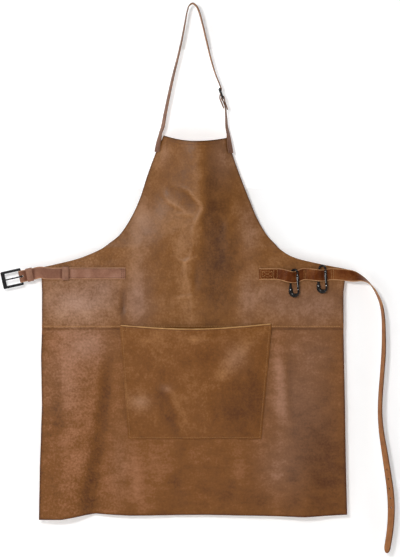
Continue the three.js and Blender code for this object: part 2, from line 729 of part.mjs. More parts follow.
// Right belt with its two hook loops and twisted free end
function beltRows() {
  const rows = [{ x: BELT_START_X, y: STRAP_Y, z: BELT_Z, roll: 0 }];
  for (const { start, dip } of LOOPS) {
    for (const { along, out, sag } of LOOP_ROWS) {
      rows.push({ x: start + along, y: STRAP_Y - out, z: BELT_Z - dip * sag, roll: 0 });
    }
  }
  rows.push(...BELT_FREE);
  const route = rows.map(({ x, y, z }) => new THREE.Vector3(x, y, z));
  return rows.map(({ roll }, i) => {
    const run = route[Math.min(i + 1, rows.length - 1)].clone().sub(route[Math.max(i - 1, 0)]);
    const face = new THREE.Vector3(-run.z, 0, run.x).normalize();
    const turn = THREE.MathUtils.degToRad(roll);
    const across = face.multiplyScalar(Math.cos(turn)).add(new THREE.Vector3(0, Math.sin(turn), 0));
    return { at: route[i], across };
  });
}

function beltHoles(rows) {
  const route = new THREE.CatmullRomCurve3(rows.map((row) => row.at), false, 'centripetal');
  const acrossRoute = new THREE.CatmullRomCurve3(rows.map((row) => row.across));
  const length = route.getLength();
  return Array.from({ length: BELT_HOLE_COUNT }, (_, i) => {
    const t = route.getUtoTmapping(1 - (BELT_HOLE_FIRST + i * BELT_HOLE_PITCH) / length);
    const tangent = route.getTangent(t);
    const normal = tangent.clone().cross(acrossRoute.getPoint(t)).normalize();
    const punch = new THREE.CylinderGeometry(BELT_HOLE_RADIUS, BELT_HOLE_RADIUS, 4 * STRAP_THICK, 8);
    return punch.applyMatrix4(basis(route.getPoint(t), tangent, normal));
  });
}

const belt = beltRows();
const beltSolid = strapSolid(belt, { width: BELT_WIDTH, thick: STRAP_THICK, tip: BELT_TIP });
addPiece('belt_strap', cut(beltSolid, ...beltHoles(belt)), 'strap');

// Snap hooks
function hookRoute() {
  const points = [];
  const arc = (centreV, radius, fromDeg, toDeg, count) => {
    for (let i = 0; i <= count; i++) {
      const angle = THREE.MathUtils.degToRad(THREE.MathUtils.lerp(fromDeg, toDeg, i / count));
      points.push(new THREE.Vector3(radius * Math.cos(angle), centreV + radius * Math.sin(angle), 0));
    }
  };
  points.push(new THREE.Vector3(HOOK.bottomRadius, HOOK.bottomV + 1, 0));
  arc(HOOK.bottomV, HOOK.bottomRadius, 0, -180, 10);
  for (const part of [0.25, 0.5, 0.75]) {
    const u = -THREE.MathUtils.lerp(HOOK.bottomRadius, HOOK.topRadius, part);
    points.push(new THREE.Vector3(u, THREE.MathUtils.lerp(HOOK.bottomV, -HOOK.topRadius, part), 0));
  }
  arc(-HOOK.topRadius, HOOK.topRadius, 180, 0, 8);
  points.push(new THREE.Vector3(HOOK.topRadius, HOOK.noseV, 0));
  return new THREE.CatmullRomCurve3(points, false, 'centripetal');
}

function legU(v) {
  return THREE.MathUtils.mapLinear(v, -HOOK.topRadius, HOOK.bottomV, HOOK.topRadius, HOOK.bottomRadius);
}

const HOOK_STEPS = 26;
const WIRE_QUARTERS = 4;

function hookBody() {
  const section = new THREE.Shape();
  section.absarc(0, 0, HOOK.wire, 0, 2 * Math.PI);
  const wire = new THREE.ExtrudeGeometry(section, {
    steps: HOOK_STEPS,
    extrudePath: hookRoute(),
    bevelEnabled: false,
    curveSegments: WIRE_QUARTERS,
  });
  const pivotU = legU(HOOK.pivotV);
  const half = HOOK.tongueWidth / 2;
  const tongue = new THREE.Shape();
  tongue.moveTo(pivotU - half, HOOK.bottomV - 2);
  tongue.lineTo(pivotU + half, HOOK.bottomV - 2);
  tongue.lineTo(pivotU + half, HOOK.pivotV);
  tongue.absarc(pivotU, HOOK.pivotV, half, 0, Math.PI);
  tongue.closePath();
  const pin = new THREE.CylinderGeometry(HOOK.pin, HOOK.pin, HOOK.pinLength, BAR_SIDES);
  pin.rotateX(Math.PI / 2);
  return join(wire, plate(tongue, HOOK.tongue), pin.translate(pivotU, HOOK.pivotV, 0));
}

function hookGate() {
  const foot = new THREE.Vector2(legU(HOOK.pivotV), HOOK.pivotV);
  const top = new THREE.Vector2(legU(HOOK.gateTopV), HOOK.gateTopV);
  const half = HOOK.gateWidth / 2;
  const length = top.distanceTo(foot);
  const bar = new THREE.Shape();
  bar.moveTo(half, 0);
  bar.lineTo(half, length);
  bar.lineTo(-half, length);
  bar.lineTo(-half, 0);
  bar.absarc(0, 0, half, Math.PI, 2 * Math.PI);
  const hole = new THREE.Path();
  hole.absarc(0, 0, HOOK.pinHole, 0, 2 * Math.PI, true);
  bar.holes.push(hole);
  const fork = new THREE.Vector3(2 * half, HOOK.forkDepth, HOOK.tongue / 2 + CLEAR);
  const slot = boxBetween(new THREE.Vector3(-2 * half, -2 * half, -fork.z), fork);
  const lean = Math.atan2(foot.x - top.x, top.y - foot.y);
  return cut(plate(bar, HOOK.gateThick, 6), slot).rotateZ(lean).translate(foot.x, foot.y, 0);
}

const hookTurn = THREE.MathUtils.degToRad(HOOK.turnDeg);
LOOPS.forEach(({ start, hookTop }, i) => {
  const place = new THREE.Vector3(start + HOOK_FROM_LOOP, HOOK_PLANE_Y, hookTop - HOOK.wire);
  const right = new THREE.Vector3(Math.cos(hookTurn), -Math.sin(hookTurn), 0);
  const matrix = basis(place, right, new THREE.Vector3(0, 0, 1));
  addPiece(`hook_${i + 1}_body`, hookBody().applyMatrix4(matrix), 'gunmetal');
  addPiece(`hook_${i + 1}_gate`, hookGate().applyMatrix4(matrix), 'gunmetal');
});

// Neck strap: seats on the turned-back bib corners, rises over the peg and closes in the small buckle
function neckSeat({ x, z, ax, ay }) {
  const lift = PANEL_THICK / 2 + 2 * CLEAR + NECK_THICK / 2;
  return { at: lifted(x, z, lift), across: new THREE.Vector3(ax, ay, 0) };
}

function neckFree({ x, y, z, ax, ay }) {
  return { at: new THREE.Vector3(x, y, z), across: new THREE.Vector3(ax, ay, 0) };
}

const lean = THREE.MathUtils.degToRad(NECK_BUCKLE.leanDeg);
const neckUp = new THREE.Vector3(-Math.sin(lean), 0, Math.cos(lean));
const neckBasis = basis(NECK_BUCKLE.pivot, neckUp, new THREE.Vector3(0, 1, 0));
const forwards = new THREE.Vector3(0, -1, 0);

function onNeckBuckle({ along, front }) {
  return { at: new THREE.Vector3(along, 0, front).applyMatrix4(neckBasis), across: forwards };
}

function neckLongRows() {
  return [
    ...NECK_SEATS.left.map(neckSeat),
    ...NECK_RISE.map(neckFree),
    ...NECK_THROUGH.map(onNeckBuckle),
  ];
}

function neckShortRows() {
  const seats = NECK_SEATS.right.map(neckSeat);
  const fold = foldRoute(NECK_BUCKLE, NECK_THICK).map(onNeckBuckle);
  const ply = (NECK_THICK + CLEAR) / 2;
  const back = NECK_BACK_ALONG.map((along) => onNeckBuckle({ along, front: -ply }));
  return [...seats, ...NECK_SHORT.map(neckFree), onNeckBuckle(NECK_TURN_IN), ...fold, ...back];
}

const neckHole = boxBetween(
  new THREE.Vector3(NECK_HOLE.from, -NECK_BUCKLE.slot / 2, -CUT_PAST),
  new THREE.Vector3(NECK_HOLE.to, NECK_BUCKLE.slot / 2, CUT_PAST),
).applyMatrix4(neckBasis);
const neckLong = strapSolid(neckLongRows(), { width: NECK_WIDTH, thick: NECK_THICK });
addPiece('neck_strap_long', cut(neckLong, neckHole), 'strap');
const neckShort = strapSolid(neckShortRows(), { width: NECK_WIDTH, thick: NECK_THICK });
addPiece('neck_strap_short', cut(neckShort, prongSlot(NECK_BUCKLE).applyMatrix4(neckBasis)), 'strap');
addPiece('neck_buckle_frame', buckleFrame(NECK_BUCKLE).applyMatrix4(neckBasis), 'blackMetal');
addPiece('neck_buckle_prong', buckleProng(NECK_BUCKLE).applyMatrix4(neckBasis), 'blackMetal');

export default apron;
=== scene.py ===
"""Looks of the leather apron: grain, folds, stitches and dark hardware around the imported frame."""
import math
from types import SimpleNamespace

import bmesh
import bpy
import numpy as np
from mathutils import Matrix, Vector


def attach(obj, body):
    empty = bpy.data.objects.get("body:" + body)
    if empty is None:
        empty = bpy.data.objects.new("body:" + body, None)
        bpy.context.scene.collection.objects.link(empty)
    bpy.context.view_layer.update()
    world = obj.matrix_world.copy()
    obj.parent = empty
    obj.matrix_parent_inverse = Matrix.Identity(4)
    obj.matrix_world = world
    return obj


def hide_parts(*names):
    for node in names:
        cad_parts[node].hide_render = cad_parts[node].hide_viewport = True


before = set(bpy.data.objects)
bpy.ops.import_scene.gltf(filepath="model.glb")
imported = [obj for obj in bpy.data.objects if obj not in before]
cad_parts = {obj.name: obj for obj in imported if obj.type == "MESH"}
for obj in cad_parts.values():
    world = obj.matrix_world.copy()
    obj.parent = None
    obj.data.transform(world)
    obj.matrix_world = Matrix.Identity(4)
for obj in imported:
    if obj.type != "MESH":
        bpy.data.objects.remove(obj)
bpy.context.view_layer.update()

# Sizes in millimetres, the same as in the part
MM = 0.001
PANEL_THICK = 2.2
STRAP_THICK = 2.5
NECK_THICK = 2.4
KEEPER_THICK = 1.6
KEEPER_LENGTH = 14.5
CLEAR = 0.4
LAYER = PANEL_THICK + CLEAR
BIB_ARC_END_Z = -560
BIB_ARC_X = 5
BIB_ARC_BEND = 0.0066
BIB_ARC_HIGHEST = 1.05
BIB_ARC_POWER = 1.5
BIB_TOP_Z = -305
LAP_START_Z = -660
LAP_TOP_Z = -729
SEAM_Z = -744
POCKET_BOTTOM_Z = -998
WAIST_Z = -618.3
BELT_Z = -619.7
BELT_WIDTH = 27
NECK_WIDTH = 16
STRAP_Y = -(PANEL_THICK / 2 + CLEAR + STRAP_THICK / 2)

# Scale of the camera's frame, used only to place the camera and the surface marks
PIXEL_MM = 2.295
PEAK_X = 192.6
PEAK_Y = 4
FRAME_WIDTH = 400
FRAME_HEIGHT = 558
CAMERA_DISTANCE = 4.0
SENSOR_MM = 36

# Bib edge sections: left x and z, right x and z, z on the middle line
BIB_SECTIONS = np.array([
    (-66.8, -298.4, 82.4, -302.9, -314),
    (-84, -335.1, 90, -335.1, -345),
    (-104.6, -390.2, 109, -390.2, -392),
    (-122, -445.2, 130, -445.2, -438),
    (-142.6, -491.1, 148.6, -491.1, -475),
    (-166.4, -527.9, 169.2, -527.9, -503),
    (-190, -548, 187, -548, -521),
    (-214.5, -564.6, 205, -566, -537),
    (-258.4, -582.9, 237, -583, -559),
    (-300, -594, 295, -597, -580),
    (-347.9, -604.7, 353.2, -608.2, -600),
])
BIB_LOWER = [(-345.6, z, 346.4, z, z) for z in (LAP_START_Z, LAP_TOP_Z, SEAM_Z)]
# Skirt side edges: z, left x, right x
SKIRT_SIDES = np.array([
    (LAP_TOP_Z, -345.6, 346.4), (SEAM_Z, -345.6, 346.4), (-808, -347.9, 347.5), (-918, -345.6, 349.8),
    (-1065, -350.2, 352.1), (-1180, -352, 355),
])
HEM = np.array([
    (-352, -1183), (-300, -1182), (-245, -1173), (-222, -1170.6), (-144, -1174.4),
    (17, -1173), (134, -1174.4), (257, -1177), (310, -1174.4), (355, -1172),
])
# Large folds: x, z and how far forward at both ends, width
FOLDS = [
    (17, -340, 5, 14, -550, 3, 26),
    (-184, -770, 0, -226, -1180, -13, 24),
    (-272, -780, 0, -300, -1190, 17, 62),
    (258, -960, 0, 258, -1185, 10, 40),
    (20, -1040, 0, 20, -1185, -5, 90),
]
POCKET_TOP = ((-166.6, -736.7), (181, -733.3))
POCKET_FOOT = (-148, 158)
POCKET_MOUTH_SAG = 10
POCKET_BULGE = 14
POCKET_BULGE_POWERS = (1.3, 0.8)
POCKET_RISE_START_Z = -800
POCKET_EDGE_FADE = (0.02, 0.1)
POCKET_DEEPEST = 2.0


# Numbers

def smoothstep(value, low, high):
    part = np.clip((np.asarray(value, float) - low) / (high - low), 0, 1)
    return part * part * (3 - 2 * part)


def between(start, end, part):
    return start + (end - start) * part


def unit(vectors):
    vectors = np.asarray(vectors, float)
    return vectors / np.linalg.norm(vectors, axis=-1, keepdims=True)


def full_turn(count):
    return np.linspace(0, 2 * math.pi, count, endpoint=False)


def matched(first, second):
    return np.broadcast_arrays(np.asarray(first, float), np.asarray(second, float))


def length_along(points):
    """Length along a line of points, at each of them."""
    return np.concatenate([[0], np.cumsum(np.linalg.norm(np.diff(points, axis=0), axis=1))])


def follow(lengths, run, rows):
    """Rows of a table, read off at lengths along a line."""
    return np.stack([np.interp(lengths, run, column) for column in rows.T], axis=-1)


def polar(turn, radius):
    return np.stack([np.cos(turn), np.sin(turn)], axis=-1) * radius


def from_pixels(px, py):
    return (px - PEAK_X) * PIXEL_MM, (PEAK_Y - py) * PIXEL_MM


def away_from_segment(x, z, start, end):
    """Distance of points from a segment, and the part of the way along it."""
    run_x, run_z = end[0] - start[0], end[1] - start[1]
    length = run_x * run_x + run_z * run_z
    part = np.clip(((x - start[0]) * run_x + (z - start[1]) * run_z) / length, 0, 1)
    return np.hypot(x - start[0] - part * run_x, z - start[1] - part * run_z), part


def waves(x, z, height, seed, wavelength, count=14):
    """Smooth seeded undulation to about a height on both sides of zero."""
    random = np.random.default_rng(seed)
    total = np.zeros(np.broadcast(x, z).shape)
    for _ in range(count):
        angle = random.uniform(0, math.pi)
        pitch = 2 * math.pi / (wavelength * random.uniform(0.6, 1.6))
        along = x * math.cos(angle) + z * math.sin(angle)
        total = total + np.sin(along * pitch + random.uniform(0, 2 * math.pi))
    return total / math.sqrt(count) * height


def spline_rows(rows, steps, centripetal):
    """Smooth points through rows, with the same end rule for both kinds of spline."""
    rows = np.asarray(rows, float)
    padded = np.vstack([2 * rows[0] - rows[1], rows, 2 * rows[-1] - rows[-2]])
    t = np.linspace(0, 1, steps, endpoint=False)[:, None]
    out = []
    for i in range(len(rows) - 1):
        before, start, end, after = padded[i:i + 4]
        slope1, slope2 = (end - before) / 2, (after - start) / 2
        if centripetal:
            gaps = np.linalg.norm(np.diff(padded[i:i + 4], axis=0), axis=1)
            gap0, gap1, gap2 = np.sqrt(np.maximum(gaps, 1e-8))
            slope1 = gap1 * ((start - before) / gap0 - (end - before) / (gap0 + gap1)) + end - start
            slope2 = gap1 * ((after - end) / gap2 - (after - start) / (gap1 + gap2)) + end - start
        curve = (2 * t**3 - 3 * t**2 + 1) * start + (3 * t**2 - 2 * t**3) * end
        out.append(curve + (t**3 - 2 * t**2 + t) * slope1 + (t**3 - t**2) * slope2)
    return np.vstack(out + [rows[-1:]])


# Materials

class Graph:
    """Shorthand for building one material's nodes."""

    def __init__(self, name):
        self.material = bpy.data.materials.new(name)
        self.material.use_nodes = True
        self.tree = self.material.node_tree
        self.tree.nodes.clear()
        self.output = self.tree.nodes.new("ShaderNodeOutputMaterial")

    def node(self, kind, sockets=(), **settings):
        """A node with its settings, and with a number or a link for each socket."""
        made = self.tree.nodes.new("ShaderNode" + kind)
        for key, value in settings.items():
            setattr(made, key, value)
        for socket, value in dict(sockets).items():
            if isinstance(value, bpy.types.NodeSocket):
                self.tree.links.new(value, made.inputs[socket])
            else:
                made.inputs[socket].default_value = value
        return made

    def place(self):
        return self.node("TexCoord").outputs["Object"]

    def noise(self, scale, detail, roughness, stretch=(1, 1, 1)):
        place = self.node("Mapping", {"Vector": self.place(), "Scale": stretch}).outputs["Vector"]
        sockets = {"Vector": place, "Scale": scale, "Detail": detail, "Roughness": roughness}
        return self.node("TexNoise", sockets).outputs["Fac"]

    def cells(self, scale):
        sockets = {"Vector": self.place(), "Scale": scale, "Smoothness": 0.6}
        return self.node("TexVoronoi", sockets, feature="SMOOTH_F1").outputs["Distance"]

    def paint(self, name):
        return self.node("Attribute", attribute_name=name).outputs["Fac"]

    def math(self, operation, first, second):
        return self.node("Math", {0: first, 1: second}, operation=operation).outputs[0]

    def total(self, *values):
        while len(values) > 1:
            values = (self.math("ADD", *values[:2]), *values[2:])
        return values[0]

    def swing(self, value, amount):
        """A noise turned into a swing about zero."""
        return self.math("MULTIPLY", self.math("SUBTRACT", value, 0.5), amount)

    def ramp(self, factor, places, colours):
        made = self.node("ValToRGB", {"Fac": factor})
        for _ in places[2:]:
            made.color_ramp.elements.new(0.5)
        for element, place, colour in zip(made.color_ramp.elements, places, colours):
            element.position = place
            element.color = (*colour, 1)
        return made.outputs["Color"]

    def blend(self, factor, first, second):
        return self.node("Mix", {0: factor, 6: first, 7: second}, data_type="RGBA").outputs[2]

    def bump(self, height, strength, distance):
        sockets = {"Strength": strength, "Distance": distance, "Height": height}
        return self.node("Bump", sockets).outputs["Normal"]

    def principled(self, **sockets):
        named = {key.replace("_", " "): value for key, value in sockets.items()}
        return self.node("BsdfPrincipled", named).outputs[0]

    def finished(self, surface):
        self.tree.links.new(surface, self.output.inputs["Surface"])
        return self.material


def display(*colours):
    """Colours given in display values, as the renderer wants them."""
    shares = np.array(colours) / 255
    return np.where(shares <= 0.04045, shares / 12.92, ((shares + 0.055) / 1.055) ** 2.4)


# Noises: scale, detail, roughness; the scale of the fibres is each leather's own
CLOUDS = (6.0, 2.0, 0.5)
MOTTLE = (40.0, 4.0, 0.68)
SPECKS = (210.0, 3.0, 0.6)
FIBRES = (4.0, 0.65)
FINE_FIBRES = (420.0, 3.0, 0.6)
WEAR = (160.0, 3.0, 0.6)
# How much each noise moves the tone; the specks count more where the leather is pebbled
CLOUD_SWING = 0.3
MOTTLE_SWING = 0.58
SPECK_SWING = 0.36
PEBBLE_SWING = 0.46
# Cells of the raised grain, fine everywhere and coarse where the leather is pebbled
FINE_CELLS = 330.0
COARSE_CELLS = 170.0
SPECK_RISE = 0.8
PLAIN_RISE = 0.7
GRAIN_DEPTH = 0.0007
FIBRE_DEPTH = 0.0004
PLAIN_GLOSS = 0.3
TONE_STOPS = (0.05, 0.5, 0.95)
MIDDLE_STOPS = (0.3, 0.7)
WEAR_STOPS = (0.35, 0.75)


def grain_leather(name, waxed, sheen_colours=None, rough=(0.4, 0.54), gloss=0.25, grain=0.3, streak=(1, 1, 1)):
    """Grain side: clouds, mottles and specks between three waxed colours, with a greyish painted sheen mixed
    in where it is painted.
    """
    g = Graph(name)
    mottle = g.noise(*MOTTLE, stretch=streak)
    specks = g.noise(*SPECKS)
    pebble = g.paint("pebble")
    speck_swing = g.math("ADD", g.math("MULTIPLY", pebble, PEBBLE_SWING), SPECK_SWING)
    clouds = g.swing(g.noise(*CLOUDS), CLOUD_SWING)
    mix = g.total(clouds, g.swing(mottle, MOTTLE_SWING), g.swing(specks, speck_swing), g.paint("tone_and_painted_light"), 0.5)
    colour = g.ramp(mix, TONE_STOPS, display(*waxed))
    # Painted sheen: greyish colours mixed in where the sheen is painted on the mesh
    if sheen_colours:
        colour = g.blend(g.paint("painted_sheen"), colour, g.ramp(mix, TONE_STOPS, display(*sheen_colours)))
    coarse = g.math("MULTIPLY", g.cells(COARSE_CELLS), pebble)
    height = g.total(g.math("MULTIPLY", specks, SPECK_RISE), g.cells(FINE_CELLS), coarse)
    pebbled = g.math("MULTIPLY", height, g.math("ADD", pebble, PLAIN_RISE))
    return g.finished(g.principled(
        Base_Color=colour, Roughness=g.ramp(mottle, MIDDLE_STOPS, [(value,) * 3 for value in rough]),
        Specular_IOR_Level=gloss, Normal=g.bump(pebbled, grain, GRAIN_DEPTH),
    ))


def plain_leather(name, dark, light, roughness, scale=60.0, bump=0.3):
    """Flesh sides, cut edges, keepers and thread: two close colours with a fibrous bump."""
    g = Graph(name)
    return g.finished(g.principled(
        Base_Color=g.ramp(g.noise(scale, *FIBRES), MIDDLE_STOPS, display(dark, light)), Roughness=roughness,
        Specular_IOR_Level=PLAIN_GLOSS, Normal=g.bump(g.noise(*FINE_FIBRES), bump, FIBRE_DEPTH),
    ))


def metal(name, dark, light, roughness, metallic, specular=0.5):
    g = Graph(name)
    return g.finished(g.principled(
        Base_Color=g.ramp(g.noise(*WEAR), WEAR_STOPS, (dark, light)), Roughness=roughness,
        Metallic=metallic, Specular_IOR_Level=specular,
    ))


# Greyish colours of the painted sheen, mixed into the grain's colours
PAINTED_SHEEN_COLOURS = ((84, 55, 37), (124, 87, 63), (164, 126, 105))
BIB_GRAIN = grain_leather("bib_grain", ((76, 42, 12), (120, 75, 30), (162, 117, 78)), PAINTED_SHEEN_COLOURS)
SKIRT_GRAIN = grain_leather(
    "skirt_grain", ((78, 41, 11), (118, 72, 27), (162, 110, 78)), PAINTED_SHEEN_COLOURS, streak=(0.6, 1, 1.4),
)
POCKET_GRAIN = grain_leather(
    "pocket_grain", ((72, 37, 9), (115, 69, 23), (162, 114, 70)), PAINTED_SHEEN_COLOURS, rough=(0.36, 0.48), grain=0.26,
)
STRAP_GRAIN = grain_leather(
    "strap_grain", ((54, 21, 3), (90, 42, 9), (134, 82, 42)), rough=(0.38, 0.5), gloss=0.1, grain=0.25,
)
TAB_GRAIN = grain_leather(
    "tab_grain", ((98, 56, 36), (136, 92, 70), (164, 124, 104)), rough=(0.4, 0.52), grain=0.22,
)
NECK_GRAIN = grain_leather(
    "neck_grain", ((82, 48, 32), (114, 77, 56), (148, 110, 88)), rough=(0.44, 0.56), grain=0.22,
)
FLESH = plain_leather("flesh_side", (152, 110, 78), (184, 144, 108), 0.85, bump=0.5)
BELT_FLESH = plain_leather("belt_flesh", (132, 80, 40), (160, 106, 60), 0.8, bump=0.5)
STRAP_FLESH = plain_leather("strap_flesh", (150, 104, 68), (182, 134, 94), 0.8, bump=0.5)
EDGE = plain_leather("cut_edge", (50, 28, 15), (72, 42, 24), 0.55)
NECK_EDGE = plain_leather("neck_edge", (96, 64, 44), (134, 96, 70), 0.6)
TAB_EDGE = plain_leather("tab_edge", (150, 106, 76), (180, 134, 100), 0.55)
# Tan cut edges of the belt, lightened as a painted highlight for the light on its upper edge
BELT_EDGE_WITH_HIGHLIGHT = plain_leather("belt_edge_with_highlight", (146, 100, 62), (180, 134, 90), 0.6)
RAW_EDGE = plain_leather("raw_edge", (82, 50, 26), (108, 70, 38), 0.75)
# Colour of the pocket's rolled mouth, lightened as a painted highlight for the light that its top catches
MOUTH_EDGE_WITH_HIGHLIGHT = plain_leather("mouth_edge_with_highlight", (158, 114, 66), (192, 148, 94), 0.45)
KEEPER = plain_leather("keeper", (114, 75, 55), (150, 107, 84), 0.42, bump=0.2)
THREAD = plain_leather("thread", (156, 110, 62), (188, 140, 88), 0.6, scale=300.0)
SEAM_THREAD = plain_leather("seam_thread", (136, 92, 48), (164, 116, 66), 0.6, scale=300.0)
DARK_THREAD = plain_leather("dark_thread", (84, 50, 28), (112, 70, 42), 0.6, scale=300.0)
BLACK_METAL = metal("black_metal", (0.005, 0.005, 0.006), (0.014, 0.013, 0.014), 0.36, 0.0, specular=0.2)
GUNMETAL = metal("gunmetal", (0.005, 0.004, 0.004), (0.018, 0.015, 0.013), 0.22, 0.2, specular=0.24)
BRIGHT_METAL = metal("bright_metal", (0.3, 0.3, 0.3), (0.5, 0.49, 0.48), 0.3, 1.0)


# Meshes

# Values painted on the meshes: tone with painted highlight and shade, pebbling, and painted sheen
PAINTS = ("tone_and_painted_light", "pebble", "painted_sheen")


def link(name, data):
    made = bpy.data.objects.new(name, data)
    bpy.context.scene.collection.objects.link(made)
    return made


def solid(name, points, faces, materials):
    """A closed mesh from points in millimetres, with its faces turned outward."""
    mesh = bpy.data.meshes.new(name)
    mesh.from_pydata((points * MM).tolist(), [], faces)
    for material in materials:
        mesh.materials.append(material)
    work = bmesh.new()
    work.from_mesh(mesh)
    bmesh.ops.recalc_face_normals(work, faces=work.faces)
    work.to_mesh(mesh)
    work.free()
    return link(name, mesh)


def add_mesh(name, points, faces, materials, slots=None, *, body="apron", nodes=(), slot, paint=()):
    """A smooth solid that rides a body, with its materials by face and its painted values by point."""
    made = solid(name, points, faces, materials)
    mesh = made.data
    if slots is not None:
        mesh.polygons.foreach_set("material_index", np.asarray(slots, np.int32))
    for key in PAINTS:
        values = paint[key] if key in paint else np.zeros(len(points))
        attribute = mesh.attributes.new(key, "FLOAT", "POINT")
        attribute.data.foreach_set("value", np.asarray(values, np.float32).ravel())
    mesh.polygons.foreach_set("use_smooth", np.ones(len(mesh.polygons), bool))
    mesh.update()
    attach(made, body)
    if nodes:
        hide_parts(*nodes)
    return made


def grid_faces(rows, columns, start=0, close_rows=False, close_columns=False):
    """Four-sided faces of a grid of points, closed round one or both ways."""
    last_row, last_column = rows - (not close_rows), columns - (not close_columns)
    r, c = np.meshgrid(np.arange(last_row), np.arange(last_column), indexing="ij")
    r2, c2 = (r + 1) % rows, (c + 1) % columns
    corners = [r * columns + c, r2 * columns + c, r2 * columns + c2, r * columns + c2]
    return (np.stack([corner.ravel() for corner in corners], axis=1) + start).tolist()


def loft_piece(sections):
    """Points and faces of a solid through sections, closed at both ends."""
    count, around = len(sections), len(sections[0])
    ends = [list(range(around)), list(range((count - 1) * around, count * around))]
    return np.vstack(sections), grid_faces(count, around, close_columns=True) + ends


def ring_piece(sections):
    """Points and faces of a closed ring through sections."""
    faces = grid_faces(len(sections), len(sections[0]), close_rows=True, close_columns=True)
    return np.vstack(sections), faces


def joined(*pieces):
    points, faces, start = [], [], 0
    for piece_points, piece_faces in pieces:
        points.append(piece_points)
        faces += [[start + i for i in face] for face in piece_faces]
        start += len(piece_points)
    return np.vstack(points), faces


class Place:
    """Own axes of a buckle or hook: points are given along x, y and z from its origin."""

    def __init__(self, origin, x_axis, y_axis):
        self.origin = np.asarray(origin, float)
        self.axes = np.stack([x_axis, y_axis, np.cross(x_axis, y_axis)]).astype(float)

    def __call__(self, points):
        return self.origin + np.asarray(points, float) @ self.axes


def raised(flat, height=0):
    """Flat points at a height."""
    return np.column_stack([flat, np.full(len(flat), height)])


def swept(middles, sides, ups, section, wide=1, high=1):
    """A section at each middle point, laid along two directions and scaled there."""
    across = np.multiply.outer(wide, section[:, 0])[..., None]
    out = np.multiply.outer(high, section[:, 1])[..., None]
    sides, ups = np.atleast_2d(sides)[:, None], np.atleast_2d(ups)[:, None]
    return middles[:, None] + across * sides + out * ups


def circle(place, u, v, radius, height, sides=16):
    return place(raised(polar(full_turn(sides), radius) + (u, v), height))


def plate(place, outline, low, high):
    """Flat plate of an outline, between two heights."""
    return loft_piece([place(raised(outline, height)) for height in (low, high)])


def rounded_outline(low, high, radius, per_corner=5, per_side=8):
    """Closed outline of a rounded rectangle, with the same count of points for every size."""
    right_angles = np.radians([180, 270, 0, 90])
    near, far = np.add(low, radius), np.subtract(high, radius)
    centres = [near, (far[0], near[1]), far, (near[0], far[1])]
    arcs = []
    for centre, start in zip(centres, right_angles):
        arcs.append(centre + polar(start + np.linspace(0, math.pi / 2, per_corner), radius))
    parts = np.linspace(0, 1, per_side + 2)[1:-1, None]
    sides = [between(arc[-1], after[0], parts) for arc, after in zip(arcs, arcs[1:] + arcs[:1])]
    return np.vstack([rows for pair in zip(arcs, sides) for rows in pair])


def bevelled(half_width, half_deep, bevel):
    """Section of a bar with rounded edges, as offsets across and out."""
    quarter = polar(np.radians([0, 30, 60, 90]), bevel) + (half_width - bevel, half_deep - bevel)
    flips = [(1, 1, 1), (-1, 1, -1), (-1, -1, 1), (1, -1, -1)]
    return np.vstack([quarter[::order] * (across, out) for across, out, order in flips])


# Leather surface

# Small creases: points in the frame's pixels, height and width in mm
CREASES = [
    ([(172, 185), (180, 187), (190, 192), (197, 200), (201.6, 204.6), (202.4, 208),
      (200.4, 213), (196, 221), (192.5, 230), (192, 240)], 2.0, 4.6),
    ([(193, 240), (192, 250), (189, 258), (185, 263), (185, 272), (188, 282)], 1.2, 3.6),
    ([(188, 280), (191, 292), (192, 306), (191, 324)], 0.8, 4.0),
    ([(175, 255), (180, 260), (185, 262), (191, 259), (198, 257)], 1.5, 3.2),
    ([(176, 297.5), (184, 297), (193, 296.5)], 1.4, 3.4),
    ([(197, 262), (195, 276), (196, 292)], -1.3, 8.0),
    ([(177, 213), (185, 214.5), (192, 215)], 1.0, 3.5),
    ([(163, 193), (169, 201), (180, 208), (190, 214)], 1.7, 4.5),
    ([(186, 196), (190, 206), (188, 214)], -1.4, 14.0),
    ([(123.6, 289), (123.2, 306), (122.6, 324)], -2.4, 6.5),
    ([(207, 210), (204, 232), (206, 258)], -1.2, 12.0),
    ([(236, 196), (228, 225), (226, 262)], 1.0, 12.0),
    ([(60, 300), (84, 312), (108, 308)], 0.9, 12.0),
    ([(250, 296), (276, 318), (300, 321)], 0.9, 12.0),
    ([(150, 268), (148, 292), (152, 318)], -1.0, 12.0),
    ([(276, 336), (280, 372), (282, 420)], 1.4, 11.0),
    ([(287, 340), (290, 380), (294, 430)], -0.9, 9.0),
    ([(54, 352), (60, 420), (52, 500)], -1.3, 16.0),
    ([(112, 346), (110, 390), (102, 450), (95, 490), (91, 516)], -0.7, 6.0),
    ([(109, 352), (104, 390), (94, 450), (87, 490), (83, 518)], -1.7, 15.0),
    ([(100, 362), (94, 420), (83, 490)], 1.1, 15.0),
    ([(328, 350), (322, 430), (330, 505)], -0.8, 26.0),
    ([(140, 452), (136, 484), (142, 514)], 1.6, 16.0),
    ([(182, 448), (176, 480), (178, 514)], -1.5, 16.0),
    ([(236, 450), (242, 482), (238, 514)], 1.5, 18.0),
]
POCKET_CREASES = [
    ([(256, 335), (238, 352), (216, 380)], 2.4, 15.0),
    ([(176, 336), (194, 338.5), (214, 337)], 1.4, 8.0),
    ([(154, 383), (166, 396), (174, 416), (178, 438)], -2.2, 9.0),
    ([(162, 382), (170, 390), (178, 396)], 1.3, 5.0),
    ([(127, 396), (140, 404), (154, 410)], 1.8, 11.0),
    ([(242, 392), (240, 412), (246, 436)], -0.8, 14.0),
    ([(204, 392), (208, 414), (204, 437)], 1.5, 13.0),
]
# Part of a sine over which a crease fades to both ends
CREASE_FADE = (0.06, 0.94)
CREASE_FADE_POWER = 0.7
# Waviness of the panels: height, seed, wavelength
UNDULATION = [(0.55, 11, 95), (0.22, 12, 34)]
# Where small creases fade out: distance from the straps, past their ends, from the seam, below the top
CALM_STRAPS = (17, 34)
STRAP_END_X = 150
CALM_STRAP_ENDS = (0, 25)
CALM_SEAM_Z = -736
CALM_SEAM = (16, 40)
CALM_TOP = (300, 352)


